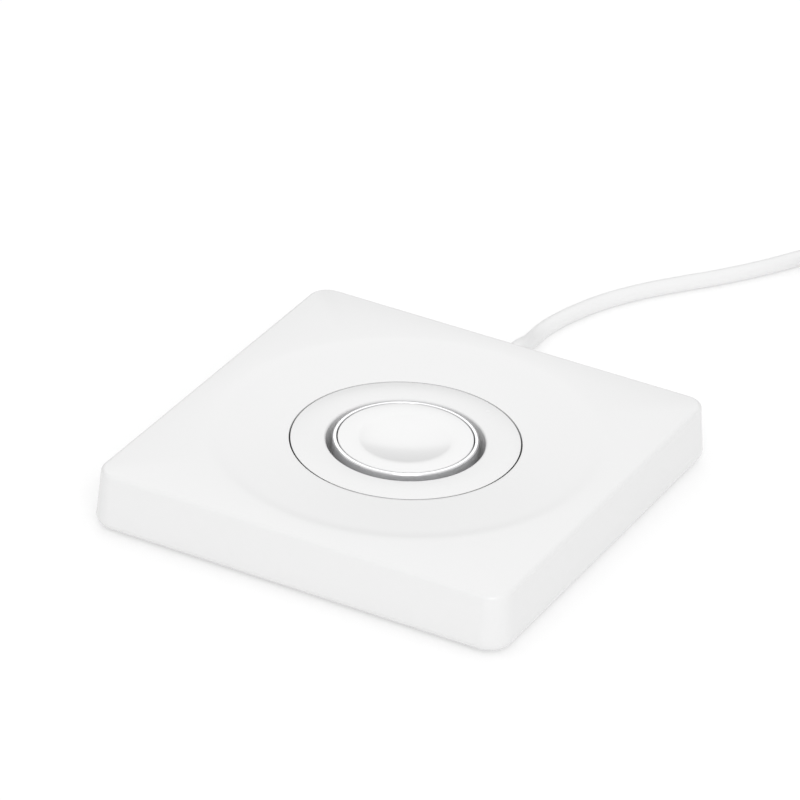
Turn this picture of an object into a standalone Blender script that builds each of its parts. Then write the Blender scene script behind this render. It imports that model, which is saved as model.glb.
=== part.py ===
"""A square wireless charging pad for a watch.

A low white base holds a round flap. The charging puck sits in the flap, and the flap folds up
on a hidden gooseneck hinge, so that the puck can face forwards. The cord leaves the back.

Metres, +Z up. The origin is at the middle of the base, on the surface that it stands on.
-Y is the front, where the hinge is, and +Y is the back, where the cord leaves.
"""

import math

import bmesh
import bpy
from mathutils import Matrix, Vector

# Driving dimensions --------------------------------------------------------------------------

CLEAR = 0.0003              # gap between pieces that touch

# Base
SIDE = 0.0842               # across the walls, just under the top edge
HEIGHT = 0.0122             # top of the base above the surface it stands on
CORNER_R = 0.0040           # vertical corners
WALL_DRAFT = math.radians(4.9)
TOP_FILLET = 0.0008
FOOT_FILLET = 0.0018
WALL = 0.0026
FOOT_T = 0.0005             # silicone pad under the base
FOOT_INSET = 0.0035
PAD_EDGE = 0.0002
COVER_T = 0.0014
BOSS_R = 0.0030
BOSS_FROM_WALL = 0.0042

# Dish in the top of the base
DISH_R = 0.0371
DISH_DEPTH = 0.0014

# Puck
PUCK_R = 0.01365
PUCK_H = 0.0070
PUCK_RISE = 0.00045         # the puck stands this far out of the flap
PUCK_GAP = 0.00120
PUCK_SHELL_WALL = 0.00080
PUCK_SHELL_FLOOR = 0.0008
CAP_T = 0.0019
CAP_DISH_R = 0.0095
CAP_DISH_DEPTH = 0.0010
MAGNET_R = 0.0046
COIL_T = 0.0015
FERRITE_T = 0.0009
PUCK_BOARD_T = 0.0007

# Flap
FLAP_T = 0.0015
FLAP_RIM = 0.0067           # from the puck's gap out to the flap's edge
COLLAR_T = 0.00145
BACK_COVER_T = 0.0010
LIP_T = 0.0012              # deck of the base around the flap

# Well under the flap
TRAY_SPACE = 0.00055        # from the flap's opening out to the tray
TRAY_WALL = 0.0012
TRAY_FLOOR = 0.0007
BUMPER_R = 0.0013
BUMPER_T = 0.0005
BUMPER_ANGLES = (math.radians(40), math.radians(140))

# Hinge
PIN_R = 0.0006
PIN_FIT = 0.0002
PIN_HEAD_R = 0.0011
PIN_END_T = 0.0004          # the pin's head, and the clip at its other end
KNUCKLE_WALL = 0.00065
AXIS_SETBACK = 0.0032       # from the flap's front edge to the hinge axis
AXIS_FREE = 0.00025         # between the knuckle and the deck over it
ARM_HALF = 0.0035
ARM_T = 0.0011
STEM_HALF = 0.0009
WASHER_T = 0.0003
WASHER_PLAY = 0.00025       # on each face of a friction washer
LIP_FREE = 0.00024          # between the arm's bend and the deck's edge
EAR_T = 0.0015
EAR_HALF = 0.0017
EAR_FOOT_L = 0.0055
EAR_FOOT_T = 0.0012
SLOT_SPACE = 0.0012         # from an ear out to the side of the tray's slot

# Electronics and ballast
BOARD_L = 0.0360
BOARD_T = 0.0010
BOARD_LIFT = 0.0011
BOARD_TO_WALL = 0.0046
BOARD_SPACE = 0.0015
BOARD_SCREW_INSET = 0.0022
BOARD_POST_R = 0.0016
BALLAST_T = 0.0040
BALLAST_SPACE = 0.0012

# Screws: shank radius, head radius, head height
COVER_SCREW = (0.0009, 0.0018, 0.0007)
EAR_SCREW = (0.0007, 0.0014, 0.0006)
ARM_SCREW = (0.0006, 0.0010, 0.0006)
BOARD_SCREW = (0.0006, 0.0012, 0.0006)

# Cord
CORD_R = 0.0016
EXIT_X = -0.0030
EXIT_Z = 0.0056
RELIEF_NECK_R = 0.0020
RELIEF_FLANGE_R = 0.0029
RELIEF_OUT = 0.0060         # length of the strain relief outside the wall
COIL_CENTRE = Vector((0.0570, 0.0849))   # y counts from the back wall
COIL_MEAN_R = 0.0180
COIL_HALF_W = 0.0082        # half the width of the wound bundle
COIL_HALF_H = 0.0033        # half its height
COIL_LIFT = 0.00075
TIE_T = 0.0004
TIE_W = 0.0040
TIE_ANGLE = math.radians(-50)

# The cord's route, from the strain relief to the coil, and from the coil to the plug. Its y
# counts from the back wall, so that it goes with the base.
RUN_ROUTE = (
    (-0.0030, 0.0063, 0.0056),
    (-0.0031, 0.0097, 0.0053),
    (-0.0036, 0.0131, 0.0042),
    (-0.0044, 0.0167, 0.0028),
    (-0.0050, 0.0204, 0.0020),
    (-0.0052, 0.0241, 0.00168),
    (-0.0042, 0.0301, 0.00165),
    (-0.0026, 0.0355, 0.00165),
    (-0.0005, 0.0409, 0.00165),
    (0.0039, 0.0488, 0.00165),
    (0.0093, 0.0562, 0.00165),
    (0.0148, 0.0632, 0.00165),
    (0.0199, 0.0706, 0.00165),
    (0.0247, 0.0787, 0.00165),
    (0.0291, 0.0862, 0.00180),
)
TAIL_ROUTE = (
    (0.0784, 0.1030, 0.0046),
    (0.0820, 0.1012, 0.0039),
    (0.0856, 0.0985, 0.0035),
    (0.0886, 0.0950, 0.0033),
    (0.0908, 0.0908, 0.0033),
    (0.0922, 0.0863, 0.0033),
    (0.0931, 0.0818, 0.0033),
)
PLUG_HALF = Vector((0.0056, 0.0100, 0.0031))   # half width, half length, half height
PLUG_BOOT_L = 0.0070
PLUG_BOOT_R = 0.0027
PLUG_CORNER = 0.0022
PLUG_TIP_HALF = Vector((0.00415, 0.0033, 0.00125))

# Sizes that follow --------------------------------------------------------------------------

PAD_TOP = FOOT_T
COVER_Z = PAD_TOP + CLEAR
COVER_TOP = COVER_Z + COVER_T
INNER_HALF = SIDE / 2 - WALL
FROM_BACK = Vector((0, SIDE / 2, 0))
INNER_CORNER = CORNER_R - WALL / 2
INSIDE_Z = COVER_TOP + CLEAR

FLAP_R = PUCK_R + PUCK_GAP + FLAP_RIM
OPENING_R = FLAP_R + CLEAR


def dish_z(radius):
    """Height of the dished top at a radius from the middle."""
    return HEIGHT - DISH_DEPTH * max(0.0, 1 - (radius / DISH_R) ** 2)


FLAP_TOP = dish_z(OPENING_R)
FLAP_UNDER = FLAP_TOP - FLAP_T
DECK_UNDER = FLAP_TOP - LIP_T
COLLAR_IN = PUCK_R + PUCK_GAP
COLLAR_OUT = COLLAR_IN + COLLAR_T
PUCK_TOP = FLAP_TOP + PUCK_RISE
PUCK_Z = PUCK_TOP - PUCK_H
BACK_COVER_TOP = PUCK_Z - CLEAR
BACK_COVER_Z = BACK_COVER_TOP - BACK_COVER_T
TRAY_FLOOR_TOP = BACK_COVER_Z - CLEAR
TRAY_IN = OPENING_R + TRAY_SPACE
TRAY_OUT = TRAY_IN + TRAY_WALL

PIN_BORE_R = PIN_R + PIN_FIT
KNUCKLE_R = PIN_BORE_R + KNUCKLE_WALL
AXIS_Y = -(FLAP_R + AXIS_SETBACK)
AXIS_Z = DECK_UNDER - AXIS_FREE - KNUCKLE_R
AXIS_DEPTH = FLAP_TOP - AXIS_Z
# The flap's edge leans in below its top, so that it swings clear of the deck.
EDGE_LEAN = AXIS_DEPTH / AXIS_SETBACK + 0.05
FLAP_UNDER_R = FLAP_R - EDGE_LEAN * FLAP_T
# The arm bends round the deck's edge where that lies furthest from the axis.
LIP_REACH = -AXIS_Y - math.sqrt(OPENING_R**2 - ARM_HALF**2)
ARM_IN = math.hypot(LIP_REACH, AXIS_DEPTH) + LIP_FREE
ARM_OUT = ARM_IN + ARM_T
EAR_IN = ARM_HALF + WASHER_T + 2 * WASHER_PLAY
EAR_OUT = EAR_IN + EAR_T
SLOT_HALF = EAR_OUT + SLOT_SPACE
FLANGE_TOP = FLAP_UNDER - CLEAR
FLANGE_END = -AXIS_Y - COLLAR_OUT - CLEAR
ARM_SCREW_Y = AXIS_Y + (ARM_OUT + FLANGE_END) / 2
ARM_SCREW_X = ARM_HALF / 2

BOSS_AT = INNER_HALF - BOSS_FROM_WALL
BOARD_FRONT = TRAY_OUT + BOARD_SPACE
BOARD_BACK = INNER_HALF - BOARD_TO_WALL
BOARD_MID_Y = (BOARD_FRONT + BOARD_BACK) / 2
BOARD_Z = COVER_TOP + BOARD_LIFT
BOARD_TOP = BOARD_Z + BOARD_T
BOARD_SCREW_X = BOARD_L / 2 - BOARD_SCREW_INSET

ARC_STEPS = 5
SIDE_STEPS = 12
ROUND_STEPS = 48
SMALL_STEPS = 14
FINE_STEPS = 12             # on the smallest screws


# Modelling helpers ---------------------------------------------------------------------------


def clear_scene():
    for obj in list(bpy.data.objects):
        bpy.data.objects.remove(obj, do_unlink=True)


def paint(obj, colour, roughness, metallic=0.0):
    """Gives the object its own plain material."""
    material = bpy.data.materials.new(obj.name)
    material.use_nodes = True
    shader = material.node_tree.nodes["Principled BSDF"]
    shader.inputs["Base Color"].default_value = (*colour, 1.0)
    shader.inputs["Roughness"].default_value = roughness
    shader.inputs["Metallic"].default_value = metallic
    obj.data.materials.append(material)
    return obj


def object_from(name, shape, smooth=True):
    """Turns a closed bmesh into an object of the scene, with its faces pointing out."""
    bmesh.ops.recalc_face_normals(shape, faces=shape.faces)
    mesh = bpy.data.meshes.new(name)
    shape.to_mesh(mesh)
    shape.free()
    if smooth:
        mesh.shade_smooth()
        mesh.set_sharp_from_angle(angle=math.radians(30))
    obj = bpy.data.objects.new(name, mesh)
    bpy.context.scene.collection.objects.link(obj)
    return obj


def arc(centre, radius, start, end, steps):
    """Points on an arc in a plane, ends included, with angles in radians."""
    angles = (start + (end - start) * i / steps for i in range(steps + 1))
    return [(centre[0] + radius * math.cos(a), centre[1] + radius * math.sin(a)) for a in angles]


def rounded_square(half, corner):
    """Outline of a rounded square, spaced evenly as seen from its middle, anticlockwise."""
    quarter = arc((half - corner, half - corner), corner, 0, math.pi / 2, ARC_STEPS)
    flat = math.atan2(half - corner, half)
    turns = [math.pi / 2 - flat + 2 * flat * k / SIDE_STEPS for k in range(1, SIDE_STEPS)]
    quarter += [(half / math.tan(a), half) for a in turns]
    points = []
    for i in range(4):
        c, s = round(math.cos(i * math.pi / 2)), round(math.sin(i * math.pi / 2))
        points += [(c * x - s * y, s * x + c * y) for x, y in quarter]
    return points


def circle_like(outline, radius):
    """A circle whose points lie at the same bearings as the outline's."""
    return [(x * radius / math.hypot(x, y), y * radius / math.hypot(x, y)) for x, y in outline]


def loft(name, rings, loop=False):
    """Skins a row of rings with equal point counts. A loop joins the last ring to the first."""
    shape = bmesh.new()
    rows = [[shape.verts.new(point) for point in ring] for ring in rings]
    pairs = list(zip(rows, rows[1:] + rows[:1] if loop else rows[1:]))
    for low, high in pairs:
        for i in range(len(low)):
            j = (i + 1) % len(low)
            shape.faces.new((low[i], low[j], high[j], high[i]))
    if not loop:
        shape.faces.new(rows[0])
        shape.faces.new(rows[-1])
    return object_from(name, shape)


def at_height(outline, z):
    return [(x, y, z) for x, y in outline]


def turned(name, profile, steps=ROUND_STEPS, closed=False):
    """Spins a profile of (radius, z) round Z. An open profile starts and ends on the axis."""
    shape = bmesh.new()
    verts = [shape.verts.new((r, 0, z)) for r, z in profile]
    ends = verts[1:] + verts[:1] if closed else verts[1:]
    edges = [shape.edges.new(pair) for pair in zip(verts, ends)]
    bmesh.ops.spin(
        shape, geom=verts + edges, cent=(0, 0, 0), axis=(0, 0, 1), angle=math.tau, steps=steps
    )
    bmesh.ops.remove_doubles(shape, verts=shape.verts, dist=1e-7)
    return object_from(name, shape)


def rod(name, radius, low, high, steps=SMALL_STEPS):
    """A plain round bar along Z."""
    return turned(name, [(0, low), (radius, low), (radius, high), (0, high)], steps)


def ring(name, inner, outer, low, high, steps=ROUND_STEPS):
    """A flat ring along Z."""
    profile = [(inner, low), (outer, low), (outer, high), (inner, high)]
    return turned(name, profile, steps, closed=True)


def screw(name, sizes, tip, seat, head_up):
    """A screw along Z: its shank runs from tip to seat, and its head stands on the seat."""
    shank_r, head_r, head_h = sizes
    sign = 1 if head_up else -1
    bevel = 0.25 * head_h
    return turned(
        name,
        [
            (0, tip),
            (shank_r, tip),
            (shank_r, seat),
            (head_r, seat),
            (head_r, seat + sign * (head_h - bevel)),
            (head_r - bevel, seat + sign * head_h),
            (0.45 * head_r, seat + sign * head_h),
            (0.35 * head_r, seat + sign * 0.5 * head_h),
            (0, seat + sign * 0.5 * head_h),
        ],
        FINE_STEPS,
    )


def block(name, low, high, bevel=0.0):
    """A box between two corners, with its edges bevelled."""
    low, high = Vector(low), Vector(high)
    shape = bmesh.new()
    bmesh.ops.create_cube(shape, size=1)
    size = high - low
    bmesh.ops.transform(shape, matrix=Matrix.Diagonal((*size, 1)), verts=shape.verts)
    obj = object_from(name, shape, smooth=False)
    obj.location = (low + high) / 2
    if bevel:
        modifier = obj.modifiers.new("Edges", "BEVEL")
        modifier.width = bevel
        modifier.segments = 2
    return obj


def extruded(name, outline, low, high, to_world):
    """Pulls a flat outline (u, v) from low to high along w. to_world maps (u, v, w) to XYZ."""
    shape = bmesh.new()
    face = shape.faces.new([shape.verts.new(to_world(u, v, low)) for u, v in outline])
    pulled = bmesh.ops.extrude_face_region(shape, geom=[face])
    moved = [v for v in pulled["geom"] if isinstance(v, bmesh.types.BMVert)]
    step = Vector(to_world(0, 0, high)) - Vector(to_world(0, 0, low))
    bmesh.ops.translate(shape, verts=moved, vec=step)
    return object_from(name, shape)


def helper(tool):
    """Hides a tool that only shapes another piece."""
    tool.hide_render = True
    tool.display_type = "WIRE"
    return tool


def combine(obj, tool, operation):
    modifier = obj.modifiers.new(tool.name, "BOOLEAN")
    modifier.operation = operation
    modifier.solver = "EXACT"
    modifier.object = helper(tool)


def cut(obj, *tools):
    for tool in tools:
        combine(obj, tool, "DIFFERENCE")


def grow(obj, *tools):
    for tool in tools:
        combine(obj, tool, "UNION")


def turn_to_x(obj, location):
    """Lays a piece made along Z over to +X, at a location."""
    obj.rotation_euler = (0, math.pi / 2, 0)
    obj.location = location
    return obj


def turn_to_y(obj, location):
    """Lays a piece made along Z over to +Y, at a location."""
    obj.rotation_euler = (-math.pi / 2, 0, 0)
    obj.location = location
    return obj


def at(obj, x, y, z=0.0):
    obj.location = (x, y, z)
    return obj


def corner_places():
    return [(sx * BOSS_AT, sy * BOSS_AT) for sx, sy in ((-1, -1), (1, -1), (1, 1), (-1, 1))]


# Colours -------------------------------------------------------------------------------------

WHITE = (0.80, 0.80, 0.80)
WARM_WHITE = (0.78, 0.78, 0.77)
SOFT_GREY = (0.45, 0.45, 0.46)
STEEL = (0.62, 0.62, 0.63)
ZINC = (0.50, 0.50, 0.52)
BOARD_GREEN = (0.03, 0.16, 0.08)
BLACK = (0.03, 0.03, 0.03)
COPPER = (0.72, 0.36, 0.20)
FERRITE = (0.08, 0.08, 0.09)


# Base ----------------------------------------------------------------------------------------


def make_top_housing():
    """The white shell: dished top with a round opening, drafted walls, open underneath."""
    half = SIDE / 2
    lean = math.tan(WALL_DRAFT)
    wall_top = HEIGHT - TOP_FILLET
    wall_foot = COVER_Z + FOOT_FILLET
    foot_half = half + lean * (wall_top - wall_foot)

    def square(size, corner, z):
        return at_height(rounded_square(size, corner), z)

    outline = rounded_square(half, CORNER_R)
    dish_steps = 4
    radii = [OPENING_R + (DISH_R - OPENING_R) * i / dish_steps for i in range(dish_steps + 1)]
    rings = [at_height(circle_like(outline, r), dish_z(r)) for r in radii]
    for run, drop in reversed(arc((0, 0), TOP_FILLET, 0, math.pi / 2, 3)):
        inset = TOP_FILLET - run
        rings.append(square(half - inset, CORNER_R - inset, wall_top + drop))
    rings.append(square(foot_half, CORNER_R + foot_half - half, wall_foot))
    for run, drop in arc((0, 0), FOOT_FILLET, 0, -math.pi / 2, 4)[1:]:
        inset = FOOT_FILLET - run
        rings.append(square(foot_half - inset, CORNER_R + foot_half - half - inset, wall_foot + drop))
    rings.append(square(INNER_HALF, INNER_CORNER, COVER_Z))
    rings.append(square(INNER_HALF, INNER_CORNER, DECK_UNDER))
    rings.append(at_height(circle_like(outline, OPENING_R), DECK_UNDER))
    housing = paint(loft("top_housing", rings, loop=True), WHITE, 0.35)

    for index, (x, y) in enumerate(corner_places(), start=1):
        boss = rod(f"boss_{index}", BOSS_R, INSIDE_Z, DECK_UNDER + LIP_T / 3)
        hole_r = COVER_SCREW[0] + CLEAR
        hole = rod(f"boss_hole_{index}", hole_r, 0, DECK_UNDER - LIP_T)
        grow(housing, at(boss, x, y))
        cut(housing, at(hole, x, y))
    exit_hole = rod("exit_hole", RELIEF_NECK_R + CLEAR, -4 * WALL, 4 * WALL)
    cut(housing, turn_to_y(exit_hole, (EXIT_X, half, EXIT_Z)))


def make_bottom_cover():
    """The plate that closes the base, held by a screw in each corner."""
    outline = rounded_square(INNER_HALF - CLEAR, INNER_CORNER - CLEAR)
    rings = [at_height(outline, COVER_Z), at_height(outline, COVER_TOP)]
    cover = paint(loft("bottom_cover", rings), WARM_WHITE, 0.5)
    shank_r, head_r, head_h = COVER_SCREW
    seat = COVER_Z + head_h + CLEAR
    for index, (x, y) in enumerate(corner_places(), start=1):
        hole = turned(
            f"cover_hole_{index}",
            [
                (0, 0),
                (head_r + CLEAR, 0),
                (head_r + CLEAR, seat),
                (shank_r + CLEAR, seat),
                (shank_r + CLEAR, 2 * COVER_TOP),
                (0, 2 * COVER_TOP),
            ],
            SMALL_STEPS,
        )
        cut(cover, at(hole, x, y))
        tip = DECK_UNDER - LIP_T - 2 * CLEAR
        piece = screw(f"cover_screw_{index}", COVER_SCREW, tip, seat - CLEAR, head_up=False)
        paint(at(piece, x, y), STEEL, 0.35, 1.0)
    for side, x in (("left", -BOARD_SCREW_X), ("right", BOARD_SCREW_X)):
        post = rod(f"board_post_{side}", BOARD_POST_R, COVER_Z + COVER_T / 2, BOARD_Z - CLEAR)
        post_hole = rod(f"board_post_hole_{side}", BOARD_SCREW[0] + CLEAR, 0, BOARD_TOP)
        grow(cover, at(post, x, BOARD_MID_Y))
        cut(cover, at(post_hole, x, BOARD_MID_Y))
    for side, sign in (("left", -1), ("right", 1)):
        ear_hole = rod(f"cover_ear_hole_{side}", EAR_SCREW[0] + CLEAR, 0, 2 * COVER_TOP)
        cut(cover, at(ear_hole, sign * (EAR_OUT + EAR_FOOT_L / 2), AXIS_Y))


def make_foot_pad():
    half = SIDE / 2 - FOOT_INSET
    corner = CORNER_R
    rings = [
        at_height(rounded_square(half - PAD_EDGE, corner - PAD_EDGE), 0),
        at_height(rounded_square(half, corner), PAD_EDGE),
        at_height(rounded_square(half, corner), PAD_TOP),
    ]
    paint(loft("foot_pad", rings), SOFT_GREY, 0.8)


def make_well_tray():
    """The liner under the flap, slotted at the front for the hinge arm, with its two rests."""
    foot = INSIDE_Z
    floor_under = TRAY_FLOOR_TOP - TRAY_FLOOR
    top = DECK_UNDER - CLEAR
    tray = turned(
        "well_tray",
        [
            (0, floor_under),
            (TRAY_IN, floor_under),
            (TRAY_IN, foot),
            (TRAY_OUT, foot),
            (TRAY_OUT, top),
            (TRAY_IN, top),
            (TRAY_IN, TRAY_FLOOR_TOP),
            (0, TRAY_FLOOR_TOP),
        ],
    )
    paint(tray, WARM_WHITE, 0.5)
    # The slot ends behind the arm's lowest sweep.
    slot = block(
        "tray_slot",
        (-SLOT_HALF, AXIS_Y - ARM_OUT, 0),
        (SLOT_HALF, AXIS_Y + 0.65 * ARM_OUT, HEIGHT),
    )
    cut(tray, slot)
    post_top = FLAP_UNDER - CLEAR - BUMPER_T - CLEAR
    rest_r = (COLLAR_OUT + FLAP_UNDER_R) / 2
    for side, angle in zip(("right", "left"), BUMPER_ANGLES):
        x, y = rest_r * math.cos(angle), rest_r * math.sin(angle)
        post = rod(f"rest_post_{side}", BUMPER_R, TRAY_FLOOR_TOP - TRAY_FLOOR / 2, post_top)
        grow(tray, at(post, x, y))
        bumper = rod(f"rest_bumper_{side}", BUMPER_R, post_top + CLEAR, FLAP_UNDER - CLEAR)
        paint(at(bumper, x, y), SOFT_GREY, 0.8)


def make_ballast():
    """Two steel bars that keep the base from tipping when the flap is up."""
    inner = TRAY_OUT + BALLAST_SPACE
    outer = INNER_HALF - BALLAST_SPACE
    reach = BOSS_AT - BOSS_R - BALLAST_SPACE
    for side, sign in (("left", -1), ("right", 1)):
        near, far = sorted((sign * inner, sign * outer))
        bar = block(
            f"ballast_{side}",
            (near, -reach, INSIDE_Z),
            (far, min(reach, BOARD_FRONT - BALLAST_SPACE), INSIDE_Z + BALLAST_T),
            bevel=0.0004,
        )
        paint(bar, STEEL, 0.45, 1.0)


def make_board():
    """The circuit board behind the well, with the parts that stand on it."""
    board = block(
        "main_board", (-BOARD_L / 2, BOARD_FRONT, BOARD_Z), (BOARD_L / 2, BOARD_BACK, BOARD_TOP)
    )
    paint(board, BOARD_GREEN, 0.5)
    for side, x in (("left", -BOARD_SCREW_X), ("right", BOARD_SCREW_X)):
        hole = rod(f"board_hole_{side}", BOARD_SCREW[0] + CLEAR, 0, HEIGHT)
        cut(board, at(hole, x, BOARD_MID_Y))
        piece = screw(
            f"board_screw_{side}", BOARD_SCREW, COVER_Z + CLEAR, BOARD_TOP + CLEAR, head_up=True
        )
        paint(at(piece, x, BOARD_MID_Y), STEEL, 0.35, 1.0)

    def on_board(name, x, size, colour, roughness, bevel, metallic=0.0):
        width, depth, height = size
        foot = BOARD_TOP + CLEAR
        piece = block(
            name,
            (x - width / 2, BOARD_MID_Y - depth / 2, foot),
            (x + width / 2, BOARD_MID_Y + depth / 2, foot + height),
            bevel,
        )
        paint(piece, colour, roughness, metallic)

    on_board("controller_chip", -0.0100, (0.0050, 0.0050, 0.0009), BLACK, 0.5, 0.0001)
    on_board("power_inductor", 0.0030, (0.0046, 0.0046, 0.0022), FERRITE, 0.6, 0.0004)
    on_board("capacitor_1", 0.0080, (0.0020, 0.0034, 0.0018), COPPER, 0.5, 0.0002)
    on_board("capacitor_2", 0.0115, (0.0020, 0.0034, 0.0018), COPPER, 0.5, 0.0002)
    on_board("lead_socket", EXIT_X - 0.0005, (0.0046, 0.0040, 0.0026), WHITE, 0.5, 0.0002)


# Hinge ---------------------------------------------------------------------------------------


def make_hinge_fixed():
    """Two ears on the bottom cover, and the pin, clip and friction washers between them."""
    foot = INSIDE_Z
    foot_end = EAR_OUT + EAR_FOOT_L
    crown = AXIS_Z + KNUCKLE_R
    for side, sign in (("left", -1), ("right", 1)):
        outline = [
            (sign * EAR_IN, foot),
            (sign * foot_end, foot),
            (sign * foot_end, foot + EAR_FOOT_T),
            (sign * EAR_OUT, foot + EAR_FOOT_T),
            (sign * EAR_OUT, crown),
            (sign * EAR_IN, crown),
        ]
        ear = extruded(
            f"hinge_ear_{side}",
            outline,
            AXIS_Y - EAR_HALF,
            AXIS_Y + EAR_HALF,
            lambda u, v, w: (u, w, v),
        )
        paint(ear, ZINC, 0.45, 1.0)
        bore = rod(f"ear_bore_{side}", PIN_BORE_R, -EAR_OUT, EAR_OUT)
        cut(ear, turn_to_x(bore, (sign * EAR_OUT, AXIS_Y, AXIS_Z)))
        screw_x = sign * (EAR_OUT + EAR_FOOT_L / 2)
        hole = rod(f"ear_hole_{side}", EAR_SCREW[0] + CLEAR, 0, HEIGHT)
        cut(ear, at(hole, screw_x, AXIS_Y))
        seat = foot + EAR_FOOT_T + CLEAR
        piece = screw(f"ear_screw_{side}", EAR_SCREW, COVER_Z + CLEAR, seat, head_up=True)
        paint(at(piece, screw_x, AXIS_Y), STEEL, 0.35, 1.0)
        washer_at = sign * (ARM_HALF + EAR_IN) / 2
        washer = ring(
            f"friction_washer_{side}",
            PIN_BORE_R,
            KNUCKLE_R,
            -WASHER_T / 2,
            WASHER_T / 2,
            SMALL_STEPS,
        )
        paint(turn_to_x(washer, (washer_at, AXIS_Y, AXIS_Z)), STEEL, 0.3, 1.0)

    head = EAR_OUT + CLEAR
    pin = turned(
        "hinge_pin",
        [
            (0, -head - PIN_END_T),
            (PIN_HEAD_R, -head - PIN_END_T),
            (PIN_HEAD_R, -head),
            (PIN_R, -head),
            (PIN_R, head + PIN_END_T),
            (0, head + PIN_END_T),
        ],
        SMALL_STEPS,
    )
    paint(turn_to_x(pin, (0, AXIS_Y, AXIS_Z)), STEEL, 0.25, 1.0)
    clip = ring("pin_clip", PIN_BORE_R, PIN_HEAD_R + PIN_FIT, 0, PIN_END_T, SMALL_STEPS)
    paint(turn_to_x(clip, (head, AXIS_Y, AXIS_Z)), STEEL, 0.35, 1.0)


def make_hinge_arm():
    """The gooseneck: down from the knuckle, round under the deck's edge, up to the flap."""

    def on_circle(radius, y):
        return math.asin(y / radius)

    flange_low = FLANGE_TOP - AXIS_Z - ARM_T
    flange_high = FLANGE_TOP - AXIS_Z
    down = -math.pi / 2
    middle = (0, 0)
    inner_start = math.asin(flange_high / ARM_IN)
    inner_end = down + on_circle(ARM_IN, STEM_HALF)
    knuckle_start = down + on_circle(KNUCKLE_R, STEM_HALF)
    knuckle_end = down - on_circle(KNUCKLE_R, STEM_HALF) + math.tau
    outer_start = down - on_circle(ARM_OUT, STEM_HALF)
    outer_end = math.asin(flange_low / ARM_OUT)
    outline = arc(middle, ARM_IN, inner_start, inner_end, 10)
    outline += arc(middle, KNUCKLE_R, knuckle_start, knuckle_end, 12)
    outline += arc(middle, ARM_OUT, outer_start, outer_end, 10)
    outline += [(FLANGE_END, flange_low), (FLANGE_END, flange_high)]
    arm = extruded(
        "hinge_arm",
        outline,
        -ARM_HALF,
        ARM_HALF,
        lambda u, v, w: (w, AXIS_Y + u, AXIS_Z + v),
    )
    bore = rod("arm_bore", PIN_BORE_R, -2 * ARM_HALF, 2 * ARM_HALF)
    cut(arm, turn_to_x(bore, (0, AXIS_Y, AXIS_Z)))
    pieces = [paint(arm, ZINC, 0.4, 1.0)]
    flange_under = AXIS_Z + flange_low
    for side, x in (("left", -ARM_SCREW_X), ("right", ARM_SCREW_X)):
        hole = rod(f"arm_hole_{side}", ARM_SCREW[0] + CLEAR, 0, HEIGHT)
        cut(arm, at(hole, x, ARM_SCREW_Y))
        tip = FLAP_UNDER + 0.5 * FLAP_T
        piece = screw(f"arm_screw_{side}", ARM_SCREW, tip, flange_under - CLEAR, head_up=False)
        pieces.append(paint(at(piece, x, ARM_SCREW_Y), STEEL, 0.35, 1.0))
    return pieces


# Flap and puck -------------------------------------------------------------------------------


def make_flap():
    """The round plate with its collar round the puck, and the cover under it."""
    plate = turned(
        "flap_plate",
        [
            (COLLAR_IN, PUCK_Z),
            (COLLAR_OUT, PUCK_Z),
            (COLLAR_OUT, FLAP_UNDER),
            (FLAP_UNDER_R, FLAP_UNDER),
            (FLAP_R, FLAP_TOP),
            (COLLAR_IN, FLAP_TOP),
        ],
        closed=True,
    )
    for side, x in (("left", -ARM_SCREW_X), ("right", ARM_SCREW_X)):
        top = FLAP_UNDER + 0.5 * FLAP_T + CLEAR
        hole = rod(f"flap_hole_{side}", ARM_SCREW[0] + CLEAR, AXIS_Z, top)
        cut(plate, at(hole, x, ARM_SCREW_Y))
    paint(plate, WHITE, 0.4)
    back = rod("flap_back_cover", COLLAR_OUT, BACK_COVER_Z, BACK_COVER_TOP, ROUND_STEPS)
    return [plate, paint(back, WARM_WHITE, 0.5)]


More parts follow.
